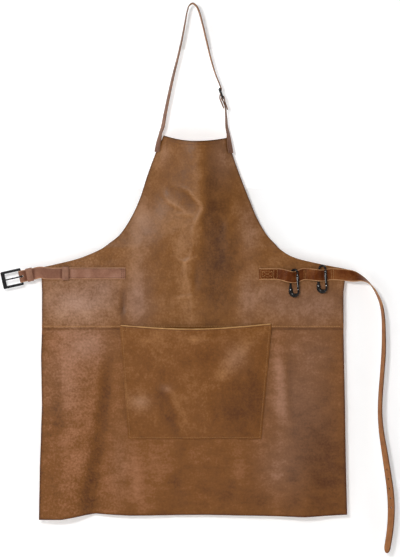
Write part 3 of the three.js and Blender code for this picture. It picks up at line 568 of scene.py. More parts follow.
def crease_forward(x, z, creases):
    """How far small creases stand forward; each fades out towards its ends."""
    total = np.zeros(np.broadcast(x, z).shape)
    for pixels, height, width in creases:
        spots = [from_pixels(*pixel) for pixel in pixels]
        away, place = np.full(total.shape, np.inf), np.zeros(total.shape)
        for i in range(len(spots) - 1):
            distance, part = away_from_segment(x, z, spots[i], spots[i + 1])
            place = np.where(distance < away, (i + part) / (len(spots) - 1), place)
            away = np.minimum(distance, away)
        fade = np.sin(math.pi * between(*CREASE_FADE, place)) ** CREASE_FADE_POWER
        total = total + height * fade * np.exp(-(away / width) ** 2)
    return total


def base_depth(x, z):
    """The part's own surface: the bib's arc and the large folds."""
    up = np.clip((z - BIB_ARC_END_Z) / (BIB_TOP_Z - BIB_ARC_END_Z), 0, BIB_ARC_HIGHEST)
    depth = BIB_ARC_BEND * up**BIB_ARC_POWER * (x - BIB_ARC_X) ** 2
    for x1, z1, forward1, x2, z2, forward2, width in FOLDS:
        away, part = away_from_segment(x, z, (x1, z1), (x2, z2))
        depth = depth - between(forward1, forward2, part) * np.exp(-(away / width) ** 2)
    return depth


def depth_at(x, z):
    """The front panels' surface: small creases and waviness, calm under straps, seam and neck strap."""
    fine = crease_forward(x, z, CREASES)
    fine = fine + sum(waves(x, z, *row) for row in UNDULATION)
    past_strap = smoothstep(STRAP_END_X - np.abs(x), *CALM_STRAP_ENDS)
    calm = np.maximum(smoothstep(np.abs(z - WAIST_Z), *CALM_STRAPS), past_strap)
    calm = calm * smoothstep(np.abs(z - CALM_SEAM_Z), *CALM_SEAM) * smoothstep(-z, *CALM_TOP)
    return base_depth(x, z) - fine * calm


def front_normal(x, z, depth):
    step = 0.5
    slope_x = (depth(x + step, z) - depth(x - step, z)) / (2 * step)
    slope_z = (depth(x, z + step) - depth(x, z - step)) / (2 * step)
    return unit(np.stack([slope_x, -np.ones_like(slope_x), slope_z], axis=-1))


def lifted(x, z, lift, depth=depth_at):
    """Points in front of the surface by a lift."""
    x, z = matched(x, z)
    middle = np.stack([x, depth(x, z), z], axis=-1)
    return middle + front_normal(x, z, depth) * np.asarray(lift, float)[..., None]


EDGE_RADIUS = 1.1
EDGE_FLAT = 0.35
EDGE_STEPS = np.array([0, 0.2, 0.5, 0.9, 1.6])
EDGE_BAND = 3.0


def edge_parts(length, spacing):
    """Places from 0 to 1 along a length, evenly spaced with a few close to both ends."""
    close = EDGE_STEPS / length
    middle = np.linspace(EDGE_BAND / length, 1 - EDGE_BAND / length, int(length / spacing))
    return np.concatenate([close, middle, 1 - close[::-1]])


def rounded(distance):
    """How much of the thickness is left near an edge."""
    near = np.clip(distance / EDGE_RADIUS, 0, 1)
    return np.maximum(np.sqrt(1 - (1 - near) ** 2), EDGE_FLAT)


def from_edges(x, z):
    """Distances of a grid's points from its side edges and from its upper and lower edge."""
    from_side = np.minimum(np.abs(x - x[:, :1]), np.abs(x[:, -1:] - x))
    return from_side, np.minimum(np.abs(z[:1] - z), np.abs(z - z[-1:]))


def wall(name, grid, materials, paint, node, slot, depth=depth_at):
    """Leather wall on a grid of places and lifts, rounded at its four edges."""
    x, z, lift = grid
    rows, columns = x.shape
    count = rows * columns
    from_side, from_end = from_edges(x, z)
    half = PANEL_THICK / 2 * rounded(from_side) * rounded(from_end)
    points = np.vstack([lifted(x, z, lift + side * half, depth).reshape(-1, 3) for side in (1, -1)])
    index = np.arange(count).reshape(rows, columns)
    border = np.concatenate([index[0], index[1:, -1], index[-1, -2::-1], index[-2:0:-1, 0]])
    after = np.roll(border, -1)
    rim = np.stack([border, after, after + count, border + count], axis=1).tolist()
    sheets = [grid_faces(rows, columns), grid_faces(rows, columns, count), rim]
    slots = np.repeat(range(len(sheets)), [len(sheet) for sheet in sheets])
    both = {key: np.tile(values.ravel(), 2) for key, values in paint.items()}
    return add_mesh(name, points, sum(sheets, []), materials, slots, nodes=[node], slot=slot, paint=both)


# Lighter and darker patches, partly the hide's own tone and partly painted highlight and painted shade, such
# as the darker right half of the bib, the fold shadows on the left skirt and the highlight along the
# pocket's bulge: place and radii in pixels, amount
TONE_AND_PAINTED_LIGHT_PATCHES = [
    (163, 156, 5, 16, 0.2), (224, 158, 6, 16, 0.12), (199, 181, 6, 27, 0.22), (213, 190, 11, 42, -0.3),
    (240, 202, 6, 20, 0.04), (250, 232, 11, 16, 0.26), (138, 217, 11, 18, 0.3), (202, 232, 8, 15, 0.12),
    (222, 248, 17, 34, -0.36), (174, 222, 20, 18, 0.19), (179, 247, 6, 15, 0.16), (136, 258, 11, 25, 0.16),
    (157, 252, 6, 24, -0.1), (226, 145, 7, 8, -0.12), (177, 160, 10, 20, -0.06), (180, 190, 8, 9, -0.18),
    (205, 264, 7, 11, -0.14), (134, 300, 7, 26, 0.2), (70, 305, 30, 22, 0.3), (108, 302, 9, 22, 0.12),
    (320, 308, 22, 16, 0.12), (268, 298, 22, 20, 0.08), (216, 292, 15, 36, -0.24), (187, 282, 7, 40, 0.19),
    (145, 300, 8, 36, 0.16), (247, 300, 8, 36, 0.1), (62, 365, 20, 42, 0.26), (74, 440, 18, 50, 0.14),
    (46, 430, 5, 70, -0.06), (104, 392, 7, 36, -0.1), (94, 450, 8, 34, -0.12), (86, 502, 8, 26, -0.2),
    (120, 470, 8, 42, 0.1), (158, 468, 26, 28, 0.16), (222, 490, 26, 26, -0.16), (240, 497, 16, 14, -0.26),
    (90, 346, 20, 16, 0.34), (55, 400, 8, 24, -0.16), (60, 452, 14, 18, 0.2), (300, 446, 14, 42, -0.17),
    (326, 300, 12, 12, -0.14), (280, 390, 8, 46, 0.16), (302, 395, 18, 55, 0.02), (326, 466, 34, 60, -0.26),
    (305, 500, 6, 14, 0.1), (278, 472, 14, 30, 0.08), (262, 500, 14, 12, -0.1),
]
POCKET_TONE_AND_PAINTED_LIGHT_PATCHES = [
    (146, 340, 24, 12, 0.24), (196, 339, 14, 4, 0.3), (244, 349, 7, 10, 0.1), (233, 363, 8, 9, 0.2),
    (222, 374, 7, 7, 0.22), (167, 389, 5, 3, 0.3), (141, 402, 12, 8, 0.18), (177, 404, 7, 7, 0.16),
    (160, 398, 6, 12, -0.25), (170, 420, 6, 18, -0.3), (238, 406, 28, 32, -0.34), (254, 380, 8, 30, -0.2),
    (216, 350, 10, 8, -0.12), (190, 366, 25, 12, -0.04), (206, 415, 14, 18, -0.1), (207, 384, 12, 10, 0.16),
]
# Patches of painted sheen, a greyish-pink reflection of white light: place and radii in pixels, amount
PAINTED_SHEEN_PATCHES = [
    (80, 300, 46, 26, 0.9), (318, 304, 44, 22, 0.8), (142, 225, 14, 40, 0.4), (143, 300, 10, 34, 0.5),
    (250, 225, 12, 30, 0.5), (247, 298, 10, 30, 0.5), (221, 160, 12, 26, 0.6), (165, 156, 6, 16, 0.3),
    (300, 400, 34, 64, 0.8), (280, 470, 24, 30, 0.5), (62, 380, 24, 40, 0.3), (120, 460, 10, 40, 0.2),
    (270, 296, 16, 18, 0.5), (134, 300, 10, 28, 0.4), (90, 346, 22, 18, 0.5), (320, 350, 20, 16, 0.3),
    (105, 285, 14, 12, 0.4),
]
POCKET_PAINTED_SHEEN = [(236, 358, 14, 16, 0.4), (141, 402, 12, 8, 0.4), (166, 388, 6, 4, 0.5)]
# Dark rim along the panels' edges, and a painted shadow line under the lapped seam: widths and amounts
RIM_WIDTHS = (3.2, 2.8)
RIM_DARK = 0.62
RIM_SEAM_FADE = (8, 18)
SEAM_SHADE_Z = SEAM_Z - 1.5
SEAM_SHADE_WIDTH = 1.8
SEAM_SHADE = 0.35
# Waves of tone; share of the creases in the tone, lighter on raised creases as pulled-up wax and painted
# highlight and darker in sunken ones as painted shade; contrast
PANEL_WAVES = (0.04, 21, 60)
PANEL_CREASE_LIGHT_AND_SHADE = 0.15
PANEL_CONTRAST = 0.8
POCKET_CREASE_LIGHT_AND_SHADE = 0.05
POCKET_CONTRAST = 0.62
# How far left the panels' leather turns pebbled
PEBBLE_START = (120, 260)
PLAIN_PEBBLE = 0.2


def toned(x, z, patches):
    total = np.zeros(x.shape)
    for px, py, across, down, amount in patches:
        spot_x, spot_z = from_pixels(px, py)
        away = ((x - spot_x) / (across * PIXEL_MM)) ** 2 + ((z - spot_z) / (down * PIXEL_MM)) ** 2
        total = total + amount * np.exp(-away)
    return total


def panel_paint(x, z):
    rims = [np.exp(-(away / width) ** 2) for away, width in zip(from_edges(x, z), RIM_WIDTHS)]
    rim = np.maximum(*rims) * smoothstep(np.abs(z - SEAM_Z), *RIM_SEAM_FADE)
    creased = PANEL_CREASE_LIGHT_AND_SHADE * crease_forward(x, z, CREASES)
    # The tone holds painted light: highlight and shade from the patches and the creases, and a painted
    # shadow line under the seam
    tone_and_painted_light = toned(x, z, TONE_AND_PAINTED_LIGHT_PATCHES) + waves(x, z, *PANEL_WAVES) + creased - RIM_DARK * rim
    tone_and_painted_light = tone_and_painted_light - SEAM_SHADE * np.exp(-((z - SEAM_SHADE_Z) / SEAM_SHADE_WIDTH) ** 2)
    pebble = between(PLAIN_PEBBLE, 1, smoothstep(-x, *PEBBLE_START))
    # Painted sheen, from its patches
    painted_sheen = np.clip(toned(x, z, PAINTED_SHEEN_PATCHES), 0, 1)
    return {"tone_and_painted_light": PANEL_CONTRAST * tone_and_painted_light, "pebble": pebble, "painted_sheen": painted_sheen}


def pocket_paint(x, z):
    # The pocket's own tone with painted highlight and shade along its bulge and creases
    tone_and_painted_light = POCKET_CONTRAST * toned(x, z, POCKET_TONE_AND_PAINTED_LIGHT_PATCHES)
    tone_and_painted_light = tone_and_painted_light + POCKET_CREASE_LIGHT_AND_SHADE * crease_forward(x, z, POCKET_CREASES)
    return {"tone_and_painted_light": tone_and_painted_light, "pebble": np.full(x.shape, PLAIN_PEBBLE), "painted_sheen": toned(x, z, POCKET_PAINTED_SHEEN)}


# Spans of the sheets in mm, spacing of their points and steps between the bib's sections
BIB_SPAN, BIB_SPACING, BIB_STEPS = 692, 3.5, 9
SKIRT_SPAN, SKIRT_DROP, SKIRT_SPACING = 700, 450, 3.6
POCKET_SPAN, POCKET_DROP, POCKET_SPACING = 345, 262, 2.6
END_ROWS = np.array([0, 0.03, 0.08, 0.16, 0.3])[:, None]


def bib_place(rows, part):
    """Places across the bib, whose rows bow from the middle line to both edges."""
    left_x, left_z, right_x, right_z, middle_z = rows.T[..., None]
    edge_z = np.where(part < 0.5, left_z, right_z)
    return between(left_x, right_x, part), between(middle_z, edge_z, (2 * part - 1) ** 2)


def bib_grid():
    rows = [spline_rows(BIB_SECTIONS, BIB_STEPS, False)]
    start = BIB_SECTIONS[-1]
    for end in np.array(BIB_LOWER):
        steps = max(3, int((start[4] - end[4]) / BIB_SPACING))
        rows.append(between(start, end, np.linspace(0, 1, steps + 1)[1:, None]))
        start = end
    rows = np.vstack(rows)
    first, last = between(rows[0], rows[1], END_ROWS), between(rows[-1], rows[-2], END_ROWS[::-1])
    rows = np.vstack([first, rows[1:-1], last])
    x, z = bib_place(rows, edge_parts(BIB_SPAN, BIB_SPACING))
    return x, z, smoothstep(LAP_START_Z - z, 0, LAP_START_Z - LAP_TOP_Z) * LAYER


def skirt_grid():
    down = edge_parts(SKIRT_DROP, SKIRT_SPACING)[:, None]
    part = edge_parts(SKIRT_SPAN, SKIRT_SPACING)
    z = between(LAP_TOP_Z, np.interp(between(HEM[0, 0], HEM[-1, 0], part), *HEM.T), down)
    left, right = (np.interp(-z, -SKIRT_SIDES[:, 0], SKIRT_SIDES[:, side]) for side in (1, 2))
    return between(left, right, part), z, np.zeros(z.shape)


def pocket_place(across, down):
    """Place and lift on the pocket, from its mouth to its foot and from left to right."""
    belly = np.sin(math.pi * np.clip(across, 0, 1))
    mouth_z = between(POCKET_TOP[0][1], POCKET_TOP[1][1], across) - POCKET_MOUTH_SAG * belly
    z = between(mouth_z, POCKET_BOTTOM_Z, down)
    sunk = np.clip((SEAM_Z - z) / (SEAM_Z - POCKET_BOTTOM_Z), 0, 1)
    left, right = (between(POCKET_TOP[side][0], POCKET_FOOT[side], sunk) for side in (0, 1))
    x = between(left, right, across)
    over_lap = smoothstep(z, POCKET_RISE_START_Z, SEAM_Z) * (LAYER + CLEAR)
    belly_power, drop_power = POCKET_BULGE_POWERS
    hang = np.cos(math.pi / 2 * np.clip(down, 0, 1)) ** drop_power
    bulge = POCKET_BULGE * belly**belly_power * hang
    fine = crease_forward(x, z, POCKET_CREASES)
    for from_edge in (across, 1 - across, 1 - down):
        fine = fine * smoothstep(from_edge, *POCKET_EDGE_FADE)
    return x, z, LAYER + over_lap + bulge + np.maximum(fine, -POCKET_DEEPEST * (1 - down))


def pocket_grid():
    downs, acrosses = edge_parts(POCKET_DROP, POCKET_SPACING), edge_parts(POCKET_SPAN, POCKET_SPACING)
    down, across = np.meshgrid(downs, acrosses, indexing="ij")
    return pocket_place(across, down)


bib_places, skirt_places, pocket_places = bib_grid(), skirt_grid(), pocket_grid()
bib = wall(
    "bib_leather", bib_places, [BIB_GRAIN, FLESH, EDGE], panel_paint(*bib_places[:2]),
    "bib_panel", "panel_leather",
)
skirt = wall(
    "skirt_leather", skirt_places, [SKIRT_GRAIN, FLESH, EDGE], panel_paint(*skirt_places[:2]),
    "skirt_panel", "panel_leather",
)
pocket = wall(
    "pocket_leather", pocket_places, [POCKET_GRAIN, FLESH, EDGE], pocket_paint(*pocket_places[:2]),
    "pocket", "pocket_leather", depth=base_depth,
)


# Straps

ROUTE_STEPS = 24


class Ribbon:
    """Smooth route of a strap: places, directions across it and out of its grain side, at even steps."""

    def __init__(self, rows, width, thick, grain, step):
        places = spline_rows([place for place, _ in rows], ROUTE_STEPS, True)
        across = spline_rows([across for _, across in rows], ROUTE_STEPS, False)
        run = length_along(places)
        self.length = run[-1]
        self.run = np.linspace(0, self.length, int(self.length / step) + 1)
        self.places = follow(self.run, run, places)
        across = follow(self.run, run, across)
        tangent = unit(np.gradient(self.places, axis=0))
        self.across = unit(across - tangent * np.sum(across * tangent, axis=1, keepdims=True))
        self.out = grain * np.cross(tangent, self.across)
        self.width = width
        self.thick = thick

    def at(self, along, aside, lift):
        """Points at a length along the strap, aside from its middle line, above its grain face."""
        fields = (self.places, self.across, self.out)
        place, across, out = (follow(along, self.run, rows) for rows in fields)
        return place + across * np.asarray(aside, float)[..., None] + out * (self.thick / 2 + lift), out


STRAP_ACROSS = np.array([-1, -0.985, -0.94, -0.86, -0.6, -0.3, 0, 0.3, 0.6, 0.86, 0.94, 0.985, 1])
STRAP_ROUND_FROM = 0.86
STRAP_EDGE_COLUMNS = 3
STRAP_EDGE_LEAST = 0.09
STRAP_END_ROUNDING = 0.8
TIP_NARROWEST = 0.12
GRAIN_SLOT, FLESH_SLOT, EDGE_SLOT, RAW_SLOT = range(4)
# Tone of the straps: waves, belt lighter to the right, tab darker to the left, and a painted shadow beside
# each side of its keepers
STRAP_WAVES = (0.1, 31, 40)
STRAP_PEBBLE = 0.1
BELT_LIGHTER = 0.12
BELT_LIGHTER_FROM = (230, 330)
TAB_DARKER = 0.22
TAB_DARKER_FROM = (288, 298)
KEEPER_SHADE = 0.4
KEEPER_SHADE_WIDTH = 2.4
KEEPER_SIDES = (-382.5, -364.5, -301, -282)


def strap_tone_and_shadow(x, z):
    tone_and_painted_light = waves(x, z, *STRAP_WAVES) + BELT_LIGHTER * smoothstep(x, *BELT_LIGHTER_FROM)
    tone_and_painted_light = tone_and_painted_light - TAB_DARKER * smoothstep(-x, *TAB_DARKER_FROM)
    # Painted shadow beside the keepers
    for beside_keeper in KEEPER_SIDES:
        tone_and_painted_light = tone_and_painted_light - KEEPER_SHADE * np.exp(-((x - beside_keeper) / KEEPER_SHADE_WIDTH) ** 2)
    return tone_and_painted_light


def strap_mesh(name, ribbon, materials, node, tip=0, raw_from=None, cutters=()):
    """Strap with rounded edges: grain side, flesh side and edges, with a square or rounded far end."""
    to_tip = ribbon.length - ribbon.run
    half = np.full(len(to_tip), ribbon.width / 2)
    if tip:
        round_tip = np.sqrt(1 - (1 - np.clip(to_tip / tip, 0, 1)) ** 2)
        half = np.maximum(half * round_tip, ribbon.width * TIP_NARROWEST)
    outer = np.clip((np.abs(STRAP_ACROSS) - STRAP_ROUND_FROM) / (1 - STRAP_ROUND_FROM), 0, 1)
    edge = np.sqrt(np.clip(1 - outer**2, STRAP_EDGE_LEAST, 1))
    end = rounded(np.minimum(ribbon.run, to_tip) * STRAP_END_ROUNDING)
    side = half[:, None] * STRAP_ACROSS
    deep = ribbon.thick / 2 * edge * end[:, None]
    middle = ribbon.places[:, None] + ribbon.across[:, None] * side[..., None]
    rise = ribbon.out[:, None] * deep[..., None]
    points, faces = loft_piece(np.concatenate([middle + rise, (middle - rise)[:, ::-1]], axis=1))
    columns = len(STRAP_ACROSS)
    inner = slice(STRAP_EDGE_COLUMNS, -STRAP_EDGE_COLUMNS - 1)
    ring = np.full(2 * columns, EDGE_SLOT)
    ring[:columns][inner] = GRAIN_SLOT
    ring[columns:][inner] = FLESH_SLOT
    slots = np.tile(ring, (len(to_tip) - 1, 1))
    if raw_from:
        slots[(ribbon.run[:-1, None] > raw_from) & (slots == EDGE_SLOT)] = RAW_SLOT
    slots = np.concatenate([slots.ravel(), [EDGE_SLOT, EDGE_SLOT]])
    paint = {"tone_and_painted_light": strap_tone_and_shadow(points[:, 0], points[:, 2]), "pebble": np.full(len(points), STRAP_PEBBLE)}
    made = add_mesh(name, points, faces, materials, slots, nodes=[node], slot="strap_leather", paint=paint)
    for cutter in cutters:
        punch(made, cutter)


def punch(piece, cutter):
    """Cuts a plain solid out of a piece."""
    modifier = piece.modifiers.new("cut", "BOOLEAN")
    modifier.operation = "DIFFERENCE"
    modifier.solver = "EXACT"
    modifier.object = cutter
    with bpy.context.temp_override(object=piece):
        bpy.ops.object.modifier_apply(modifier=modifier.name)
    bpy.data.objects.remove(cutter)


def box_in(place, low, high):
    outline = [(low[0], low[1]), (high[0], low[1]), (high[0], high[1]), (low[0], high[1])]
    return solid("slot", *plate(place, outline, low[2], high[2]), [EDGE])


TAB_DROOP = math.radians(12.5)
TAB_ALONG = np.array([-math.cos(TAB_DROOP), 0, -math.sin(TAB_DROOP)])
TAB_DOWN = np.array([math.sin(TAB_DROOP), 0, -math.cos(TAB_DROOP)])
PLY_STEP = (STRAP_THICK + CLEAR) / 2
TAB_MIDDLE_Y = STRAP_Y - PLY_STEP
WAIST_PLACE = Place((-392.9, TAB_MIDDLE_Y, -625.6), TAB_ALONG, TAB_DOWN)
CUT_REACH = 20
# Buckle sizes; each slot for the prong has a reach back from the bar and a lowest depth
WAIST_BUCKLE = SimpleNamespace(
    bar=2.1, window=27.8, rail=6.0, front=8.8, reach=45.2, thick=3.4, corner=2.5, eye=1.6, prong=3.4,
    slot=4.2, slots=((4.6, -CUT_REACH), (7.4, 0)),
)
NECK_LEAN = math.radians(19.5)
NECK_UP = np.array([-math.sin(NECK_LEAN), 0, math.cos(NECK_LEAN)])
NECK_PLACE = Place((69.5, 19.5, -213), NECK_UP, (0, 1, 0))
NECK_BUCKLE = SimpleNamespace(
    bar=1.5, window=17.4, rail=2.8, front=3.4, reach=22.9, thick=3.4, corner=1.5, eye=1.4, prong=2.2,
    slot=3.2, slots=((6, -CUT_REACH),),
)
NECK_SLOT = ((1, -1.6, -CUT_REACH), (16, 1.6, CUT_REACH))


def fold_rows(place, buckle, thick, across):
    """Rows of a strap end folded round a hinge bar."""
    radius = buckle.bar + CLEAR + thick / 2
    turns = np.radians(np.arange(90, -91, -30))
    return [(place((radius * math.cos(turn), 0, radius * math.sin(turn))), across) for turn in turns]


def prong_slots(place, buckle):
    """Cuts for the prong through the fold."""
    half = buckle.slot / 2
    far = (CUT_REACH, half, CUT_REACH)
    return [box_in(place, (-back, -half, low), far) for back, low in buckle.slots]


# Tab on the apron: x and the share of the way out to its front ply; then along the drooping end
TAB_FLAT = [(-154, 0), (-253, 0), (-260, 0), (-275, 1), (-282, 1), (-332, 1)]
TAB_BACK = (-332, -309)
TAB_END = (-44, -28, -14)


def tab_rows():
    front, back = TAB_MIDDLE_Y - PLY_STEP, TAB_MIDDLE_Y + PLY_STEP
    rows = [((x, between(STRAP_Y, front, share), WAIST_Z), (0, 0, 1)) for x, share in TAB_FLAT]
    rows += [(WAIST_PLACE((along, 0, PLY_STEP)), -TAB_DOWN) for along in TAB_END]
    rows += fold_rows(WAIST_PLACE, WAIST_BUCKLE, STRAP_THICK, -TAB_DOWN)
    rows += [(WAIST_PLACE((along, 0, -PLY_STEP)), -TAB_DOWN) for along in TAB_END[::-1]]
    return rows + [((x, back, WAIST_Z), (0, 0, 1)) for x in TAB_BACK]


# Belt loops: start, dip under the hook, height of the hook's top
LOOPS = [(196, 7.5, -607.2), (260, 3.5, -598.3)]
# One loop: along the belt, out from the apron, share of the dip
LOOP_ROWS = [
    (-7, 0, 0), (0, 0, 0.03), (6, 2.6, 0.14), (13, 9.2, 0.36), (20, 11.9, 0.62), (27, 10, 0.86),
    (34.4, 5.55, 1), (41.5, 1.2, 0.9), (48, 0, 0.5), (55, 0, 0.12),
]
BELT_START_X = 153
# Free end of the belt: x, y, z, roll in degrees
BELT_FREE = [
    (330, -2.75, -620.3, 0), (345, -2.75, -621.5, 0), (358, -2.75, -623, 4), (372, -2, -625.5, 28),
    (386, -1, -629, 58), (400, 0, -636, 78), (413, 0, -649, 88), (424, 0, -667, 93), (433, 0, -690, 97),
    (437.5, 0, -718, 99), (439, 0, -760, 102), (438.5, 0, -800, 104), (435, 0, -850, 104),
    (431, 0, -905, 104), (430.5, 0, -945, 105), (434, 0, -985, 109), (441, 0, -1030, 114),
    (448, 0, -1075, 116), (454, 0, -1120, 119), (456, 0, -1160, 119), (453.5, 0, -1205, 116),
    (445, 0, -1260, 113),
]
BELT_HOLES = [105 + 22 * i for i in range(5)]
BELT_HOLE_RADIUS = 2.2
PUNCH_REACH = 6
BELT_TIP = 14
BELT_RAW_FROM = 330


def belt_rows():
    rows = [(BELT_START_X, STRAP_Y, BELT_Z, 0)]
    for start, dip, _ in LOOPS:
        rows += [(start + along, STRAP_Y - out, BELT_Z - dip * sag, 0) for along, out, sag in LOOP_ROWS]
    rows = np.array(rows + BELT_FREE, float)
    places = rows[:, :3]
    run = np.vstack([places[1] - places[0], places[2:] - places[:-2], places[-1] - places[-2]])
    face = unit(np.stack([-run[:, 2], np.zeros(len(run)), run[:, 0]], axis=1))
    roll = np.radians(rows[:, 3:])
    return list(zip(places, face * np.cos(roll) + np.array([0, 1, 0]) * np.sin(roll)))


# Neck strap on the bib's turned-back corners: x, z and the x and y of its direction across
NECK_SEATS = {
    "left": [(-80.6, -337, 0.72, -0.69), (-77.6, -318, 0.64, -0.77), (-74.2, -304, 0.54, -0.84),
             (-72, -293, 0.42, -0.91)],
    "right": [(86.4, -340, -0.75, -0.66), (83.4, -321, -0.69, -0.72), (81.6, -308, -0.6, -0.8),
              (80.4, -297, -0.46, -0.89)],
}
# Neck strap above the left and the right corner: x, y, z and the x and y of its direction across
NECK_RISE = [
    (-69.2, 35.5, -279, 0.46, -0.88), (-63.3, 27, -249, 0.42, -0.9), (-54, 18.5, -205, 0.38, -0.92),
    (-45, 12.5, -165, 0.33, -0.94), (-34.5, 8, -124, 0.27, -0.96), (-25, 4, -83, 0.2, -0.98),
    (-17.5, 1.5, -44, 0.14, -0.99), (-12.2, 0, -16, 0.1, -1), (-8, 0, -4, 0.08, -1),
    (0, 0, NECK_THICK / 2, 0.05, -1), (8, 0, -4, 0.08, -1), (14.5, 0.5, -16, 0.1, -1), (23, 3, -46, 0.1, -1),
    (32, 6.5, -83, 0.1, -1), (42.5, 10.5, -126, 0.08, -1), (53, 14.5, -160, 0.03, -1),
]
NECK_SHORT = [(79, 33.5, -279, -0.34, -0.94), (77.6, 27, -257, -0.22, -0.98), (75.5, 22, -236, -0.1, -1)]
# Neck strap at its buckle, before and behind the fold: along the buckle and out of it
NECK_THROUGH = [(32, -3.4), (24.5, -3.5), (19.3, -3.3), (12, 0.6), (3.5, 6), (-4, 6.9), (-13, 6.3), (-24, 6)]
NECK_BEFORE = [(-12, 1.5)]
NECK_BEHIND = [(along, -(NECK_THICK + CLEAR) / 2) for along in (-12, -20, -30)]
FORWARDS = (0, -1, 0)


def neck_rows(side, free):
    lift = PANEL_THICK / 2 + 2 * CLEAR + NECK_THICK / 2
    rows = [(lifted(x, z, lift, base_depth), (ax, ay, 0)) for x, z, ax, ay in NECK_SEATS[side]]
    return rows + [((x, y, z), (ax, ay, 0)) for x, y, z, ax, ay in free]


def at_neck_buckle(spots):
    return [(NECK_PLACE((along, 0, out)), FORWARDS) for along, out in spots]


def belt_punches(ribbon):
    """Round punches for the holes in the belt's free end."""
    punches = []
    for along in ribbon.length - np.array(BELT_HOLES):
        spot, out = ribbon.at(along, 0.0, -STRAP_THICK / 2)
        across = follow(along, ribbon.run, ribbon.across)
        hole = Place(spot, unit(across), unit(np.cross(out, across)))
        ends = [circle(hole, 0, 0, BELT_HOLE_RADIUS, side * PUNCH_REACH, sides=20) for side in (-1, 1)]
        punches.append(solid("punch", *loft_piece(ends), [EDGE]))
    return punches


tab_ribbon = Ribbon(tab_rows(), BELT_WIDTH, STRAP_THICK, grain=-1, step=1.2)
strap_mesh(
    "tab_leather", tab_ribbon, [TAB_GRAIN, STRAP_FLESH, TAB_EDGE], "buckle_tab",
    cutters=prong_slots(WAIST_PLACE, WAIST_BUCKLE),
)
belt_ribbon = Ribbon(belt_rows(), BELT_WIDTH, STRAP_THICK, grain=1, step=1.8)
strap_mesh(
    "belt_leather", belt_ribbon, [STRAP_GRAIN, BELT_FLESH, BELT_EDGE_WITH_HIGHLIGHT, RAW_EDGE], "belt_strap",
    tip=BELT_TIP, raw_from=BELT_RAW_FROM, cutters=belt_punches(belt_ribbon),
)
neck_long_rows = neck_rows("left", NECK_RISE) + at_neck_buckle(NECK_THROUGH)
neck_long_ribbon = Ribbon(neck_long_rows, NECK_WIDTH, NECK_THICK, grain=-1, step=1.6)
strap_mesh(
    "neck_leather_long", neck_long_ribbon, [NECK_GRAIN, STRAP_FLESH, NECK_EDGE], "neck_strap_long",
    cutters=[box_in(NECK_PLACE, *NECK_SLOT)],
)
neck_short_rows = neck_rows("right", NECK_SHORT) + at_neck_buckle(NECK_BEFORE)
neck_short_rows += fold_rows(NECK_PLACE, NECK_BUCKLE, NECK_THICK, FORWARDS) + at_neck_buckle(NECK_BEHIND)
neck_short_ribbon = Ribbon(neck_short_rows, NECK_WIDTH, NECK_THICK, grain=1, step=1.2)
strap_mesh(
    "neck_leather_short", neck_short_ribbon, [NECK_GRAIN, STRAP_FLESH, NECK_EDGE], "neck_strap_short",
    cutters=prong_slots(NECK_PLACE, NECK_BUCKLE),
)


# Buckles, keepers and hooks

WINDOW_CORNER = 1.2
FRAME_BEVEL = 0.55
HINGE_MARGIN = 0.6
HINGE_BEVEL = 0.9
NEARLY = 0.01
EYE_TURNS = 28
PRONG_SIDES = 12
# Parts of the prong's length with a section, the last ones at its rounded tip
PRONG_PARTS = np.concatenate([np.linspace(0, 0.93, 12), [0.96, 0.985, 1]])
PRONG_TIP_FROM = 0.93
PRONG_TIP_LEAST = 0.06
# Prong's start and how far it stays short of the frame's end; its taper, flattening and drop
PRONG_START = 0.4
PRONG_SHORT = 0.6
PRONG_TAPER = 0.1
PRONG_FLATTER = 0.25
PRONG_DROP = 1.05
PRONG_END_HALF = 0.4
KEEPER_CORNER = 1.0
KEEPER_BEVEL = 0.6
TOUCH = CLEAR - 0.05
# Directions in the own axes of a buckle or hook
ASIDE = (0, 1, 0)
UP = (0, 0, 1)


def buckle_frame(place, buckle):
    """Flat frame round a window, with a round hinge bar at its near end."""
    inner = buckle.window / 2
    outer = inner + buckle.rail
    inside = rounded_outline((buckle.bar, -inner), (buckle.reach - buckle.front, inner), WINDOW_CORNER)
    outside = rounded_outline((-buckle.bar, -outer), (buckle.reach, outer), buckle.corner)
    hinge = (np.abs(inside[:, 1]) < inner - HINGE_MARGIN) & (inside[:, 0] < buckle.bar + NEARLY)
    sections = []
    for near, far, on_hinge in zip(inside, outside, hinge):
        deep, bevel = (buckle.bar, HINGE_BEVEL * buckle.bar) if on_hinge else (buckle.thick / 2, FRAME_BEVEL)
        section = bevelled(np.linalg.norm(far - near) / 2, deep, bevel)
        flat = (near + far) / 2 + unit(far - near) * section[:, :1]
        sections.append(place(np.column_stack([flat, section[:, 1]])))
    return ring_piece(sections)


def buckle_prong(place, buckle):
    """Eye round the hinge bar and a pin that tapers to the far rail."""
    eye_half, wide = buckle.eye / 2, buckle.prong / 2
    radius = buckle.bar + TOUCH + eye_half
    oval = polar(full_turn(PRONG_SIDES), 1)
    out = np.insert(polar(full_turn(EYE_TURNS), 1), 1, 0, axis=1)
    eye = place(swept(out * radius, out, ASIDE, oval, eye_half, wide))
    low_end = buckle.thick / 2 + TOUCH + PRONG_END_HALF * buckle.eye
    past = np.maximum(PRONG_PARTS - PRONG_TIP_FROM, 0) / (1 - PRONG_TIP_FROM)
    size = (1 - PRONG_TAPER * PRONG_PARTS) * np.sqrt(np.maximum(1 - past**2, PRONG_TIP_LEAST))
    x = between(PRONG_START, buckle.reach - PRONG_SHORT, PRONG_PARTS)
    z = between(radius, low_end, np.minimum(PRONG_PARTS * PRONG_DROP, 1))
    half = eye_half * (1 - PRONG_FLATTER * PRONG_PARTS) * size
    pin = place(swept(np.stack([x, 0 * x, z], axis=1), ASIDE, UP, oval, wide * size, half))
    return joined(ring_piece(eye), loft_piece(pin))


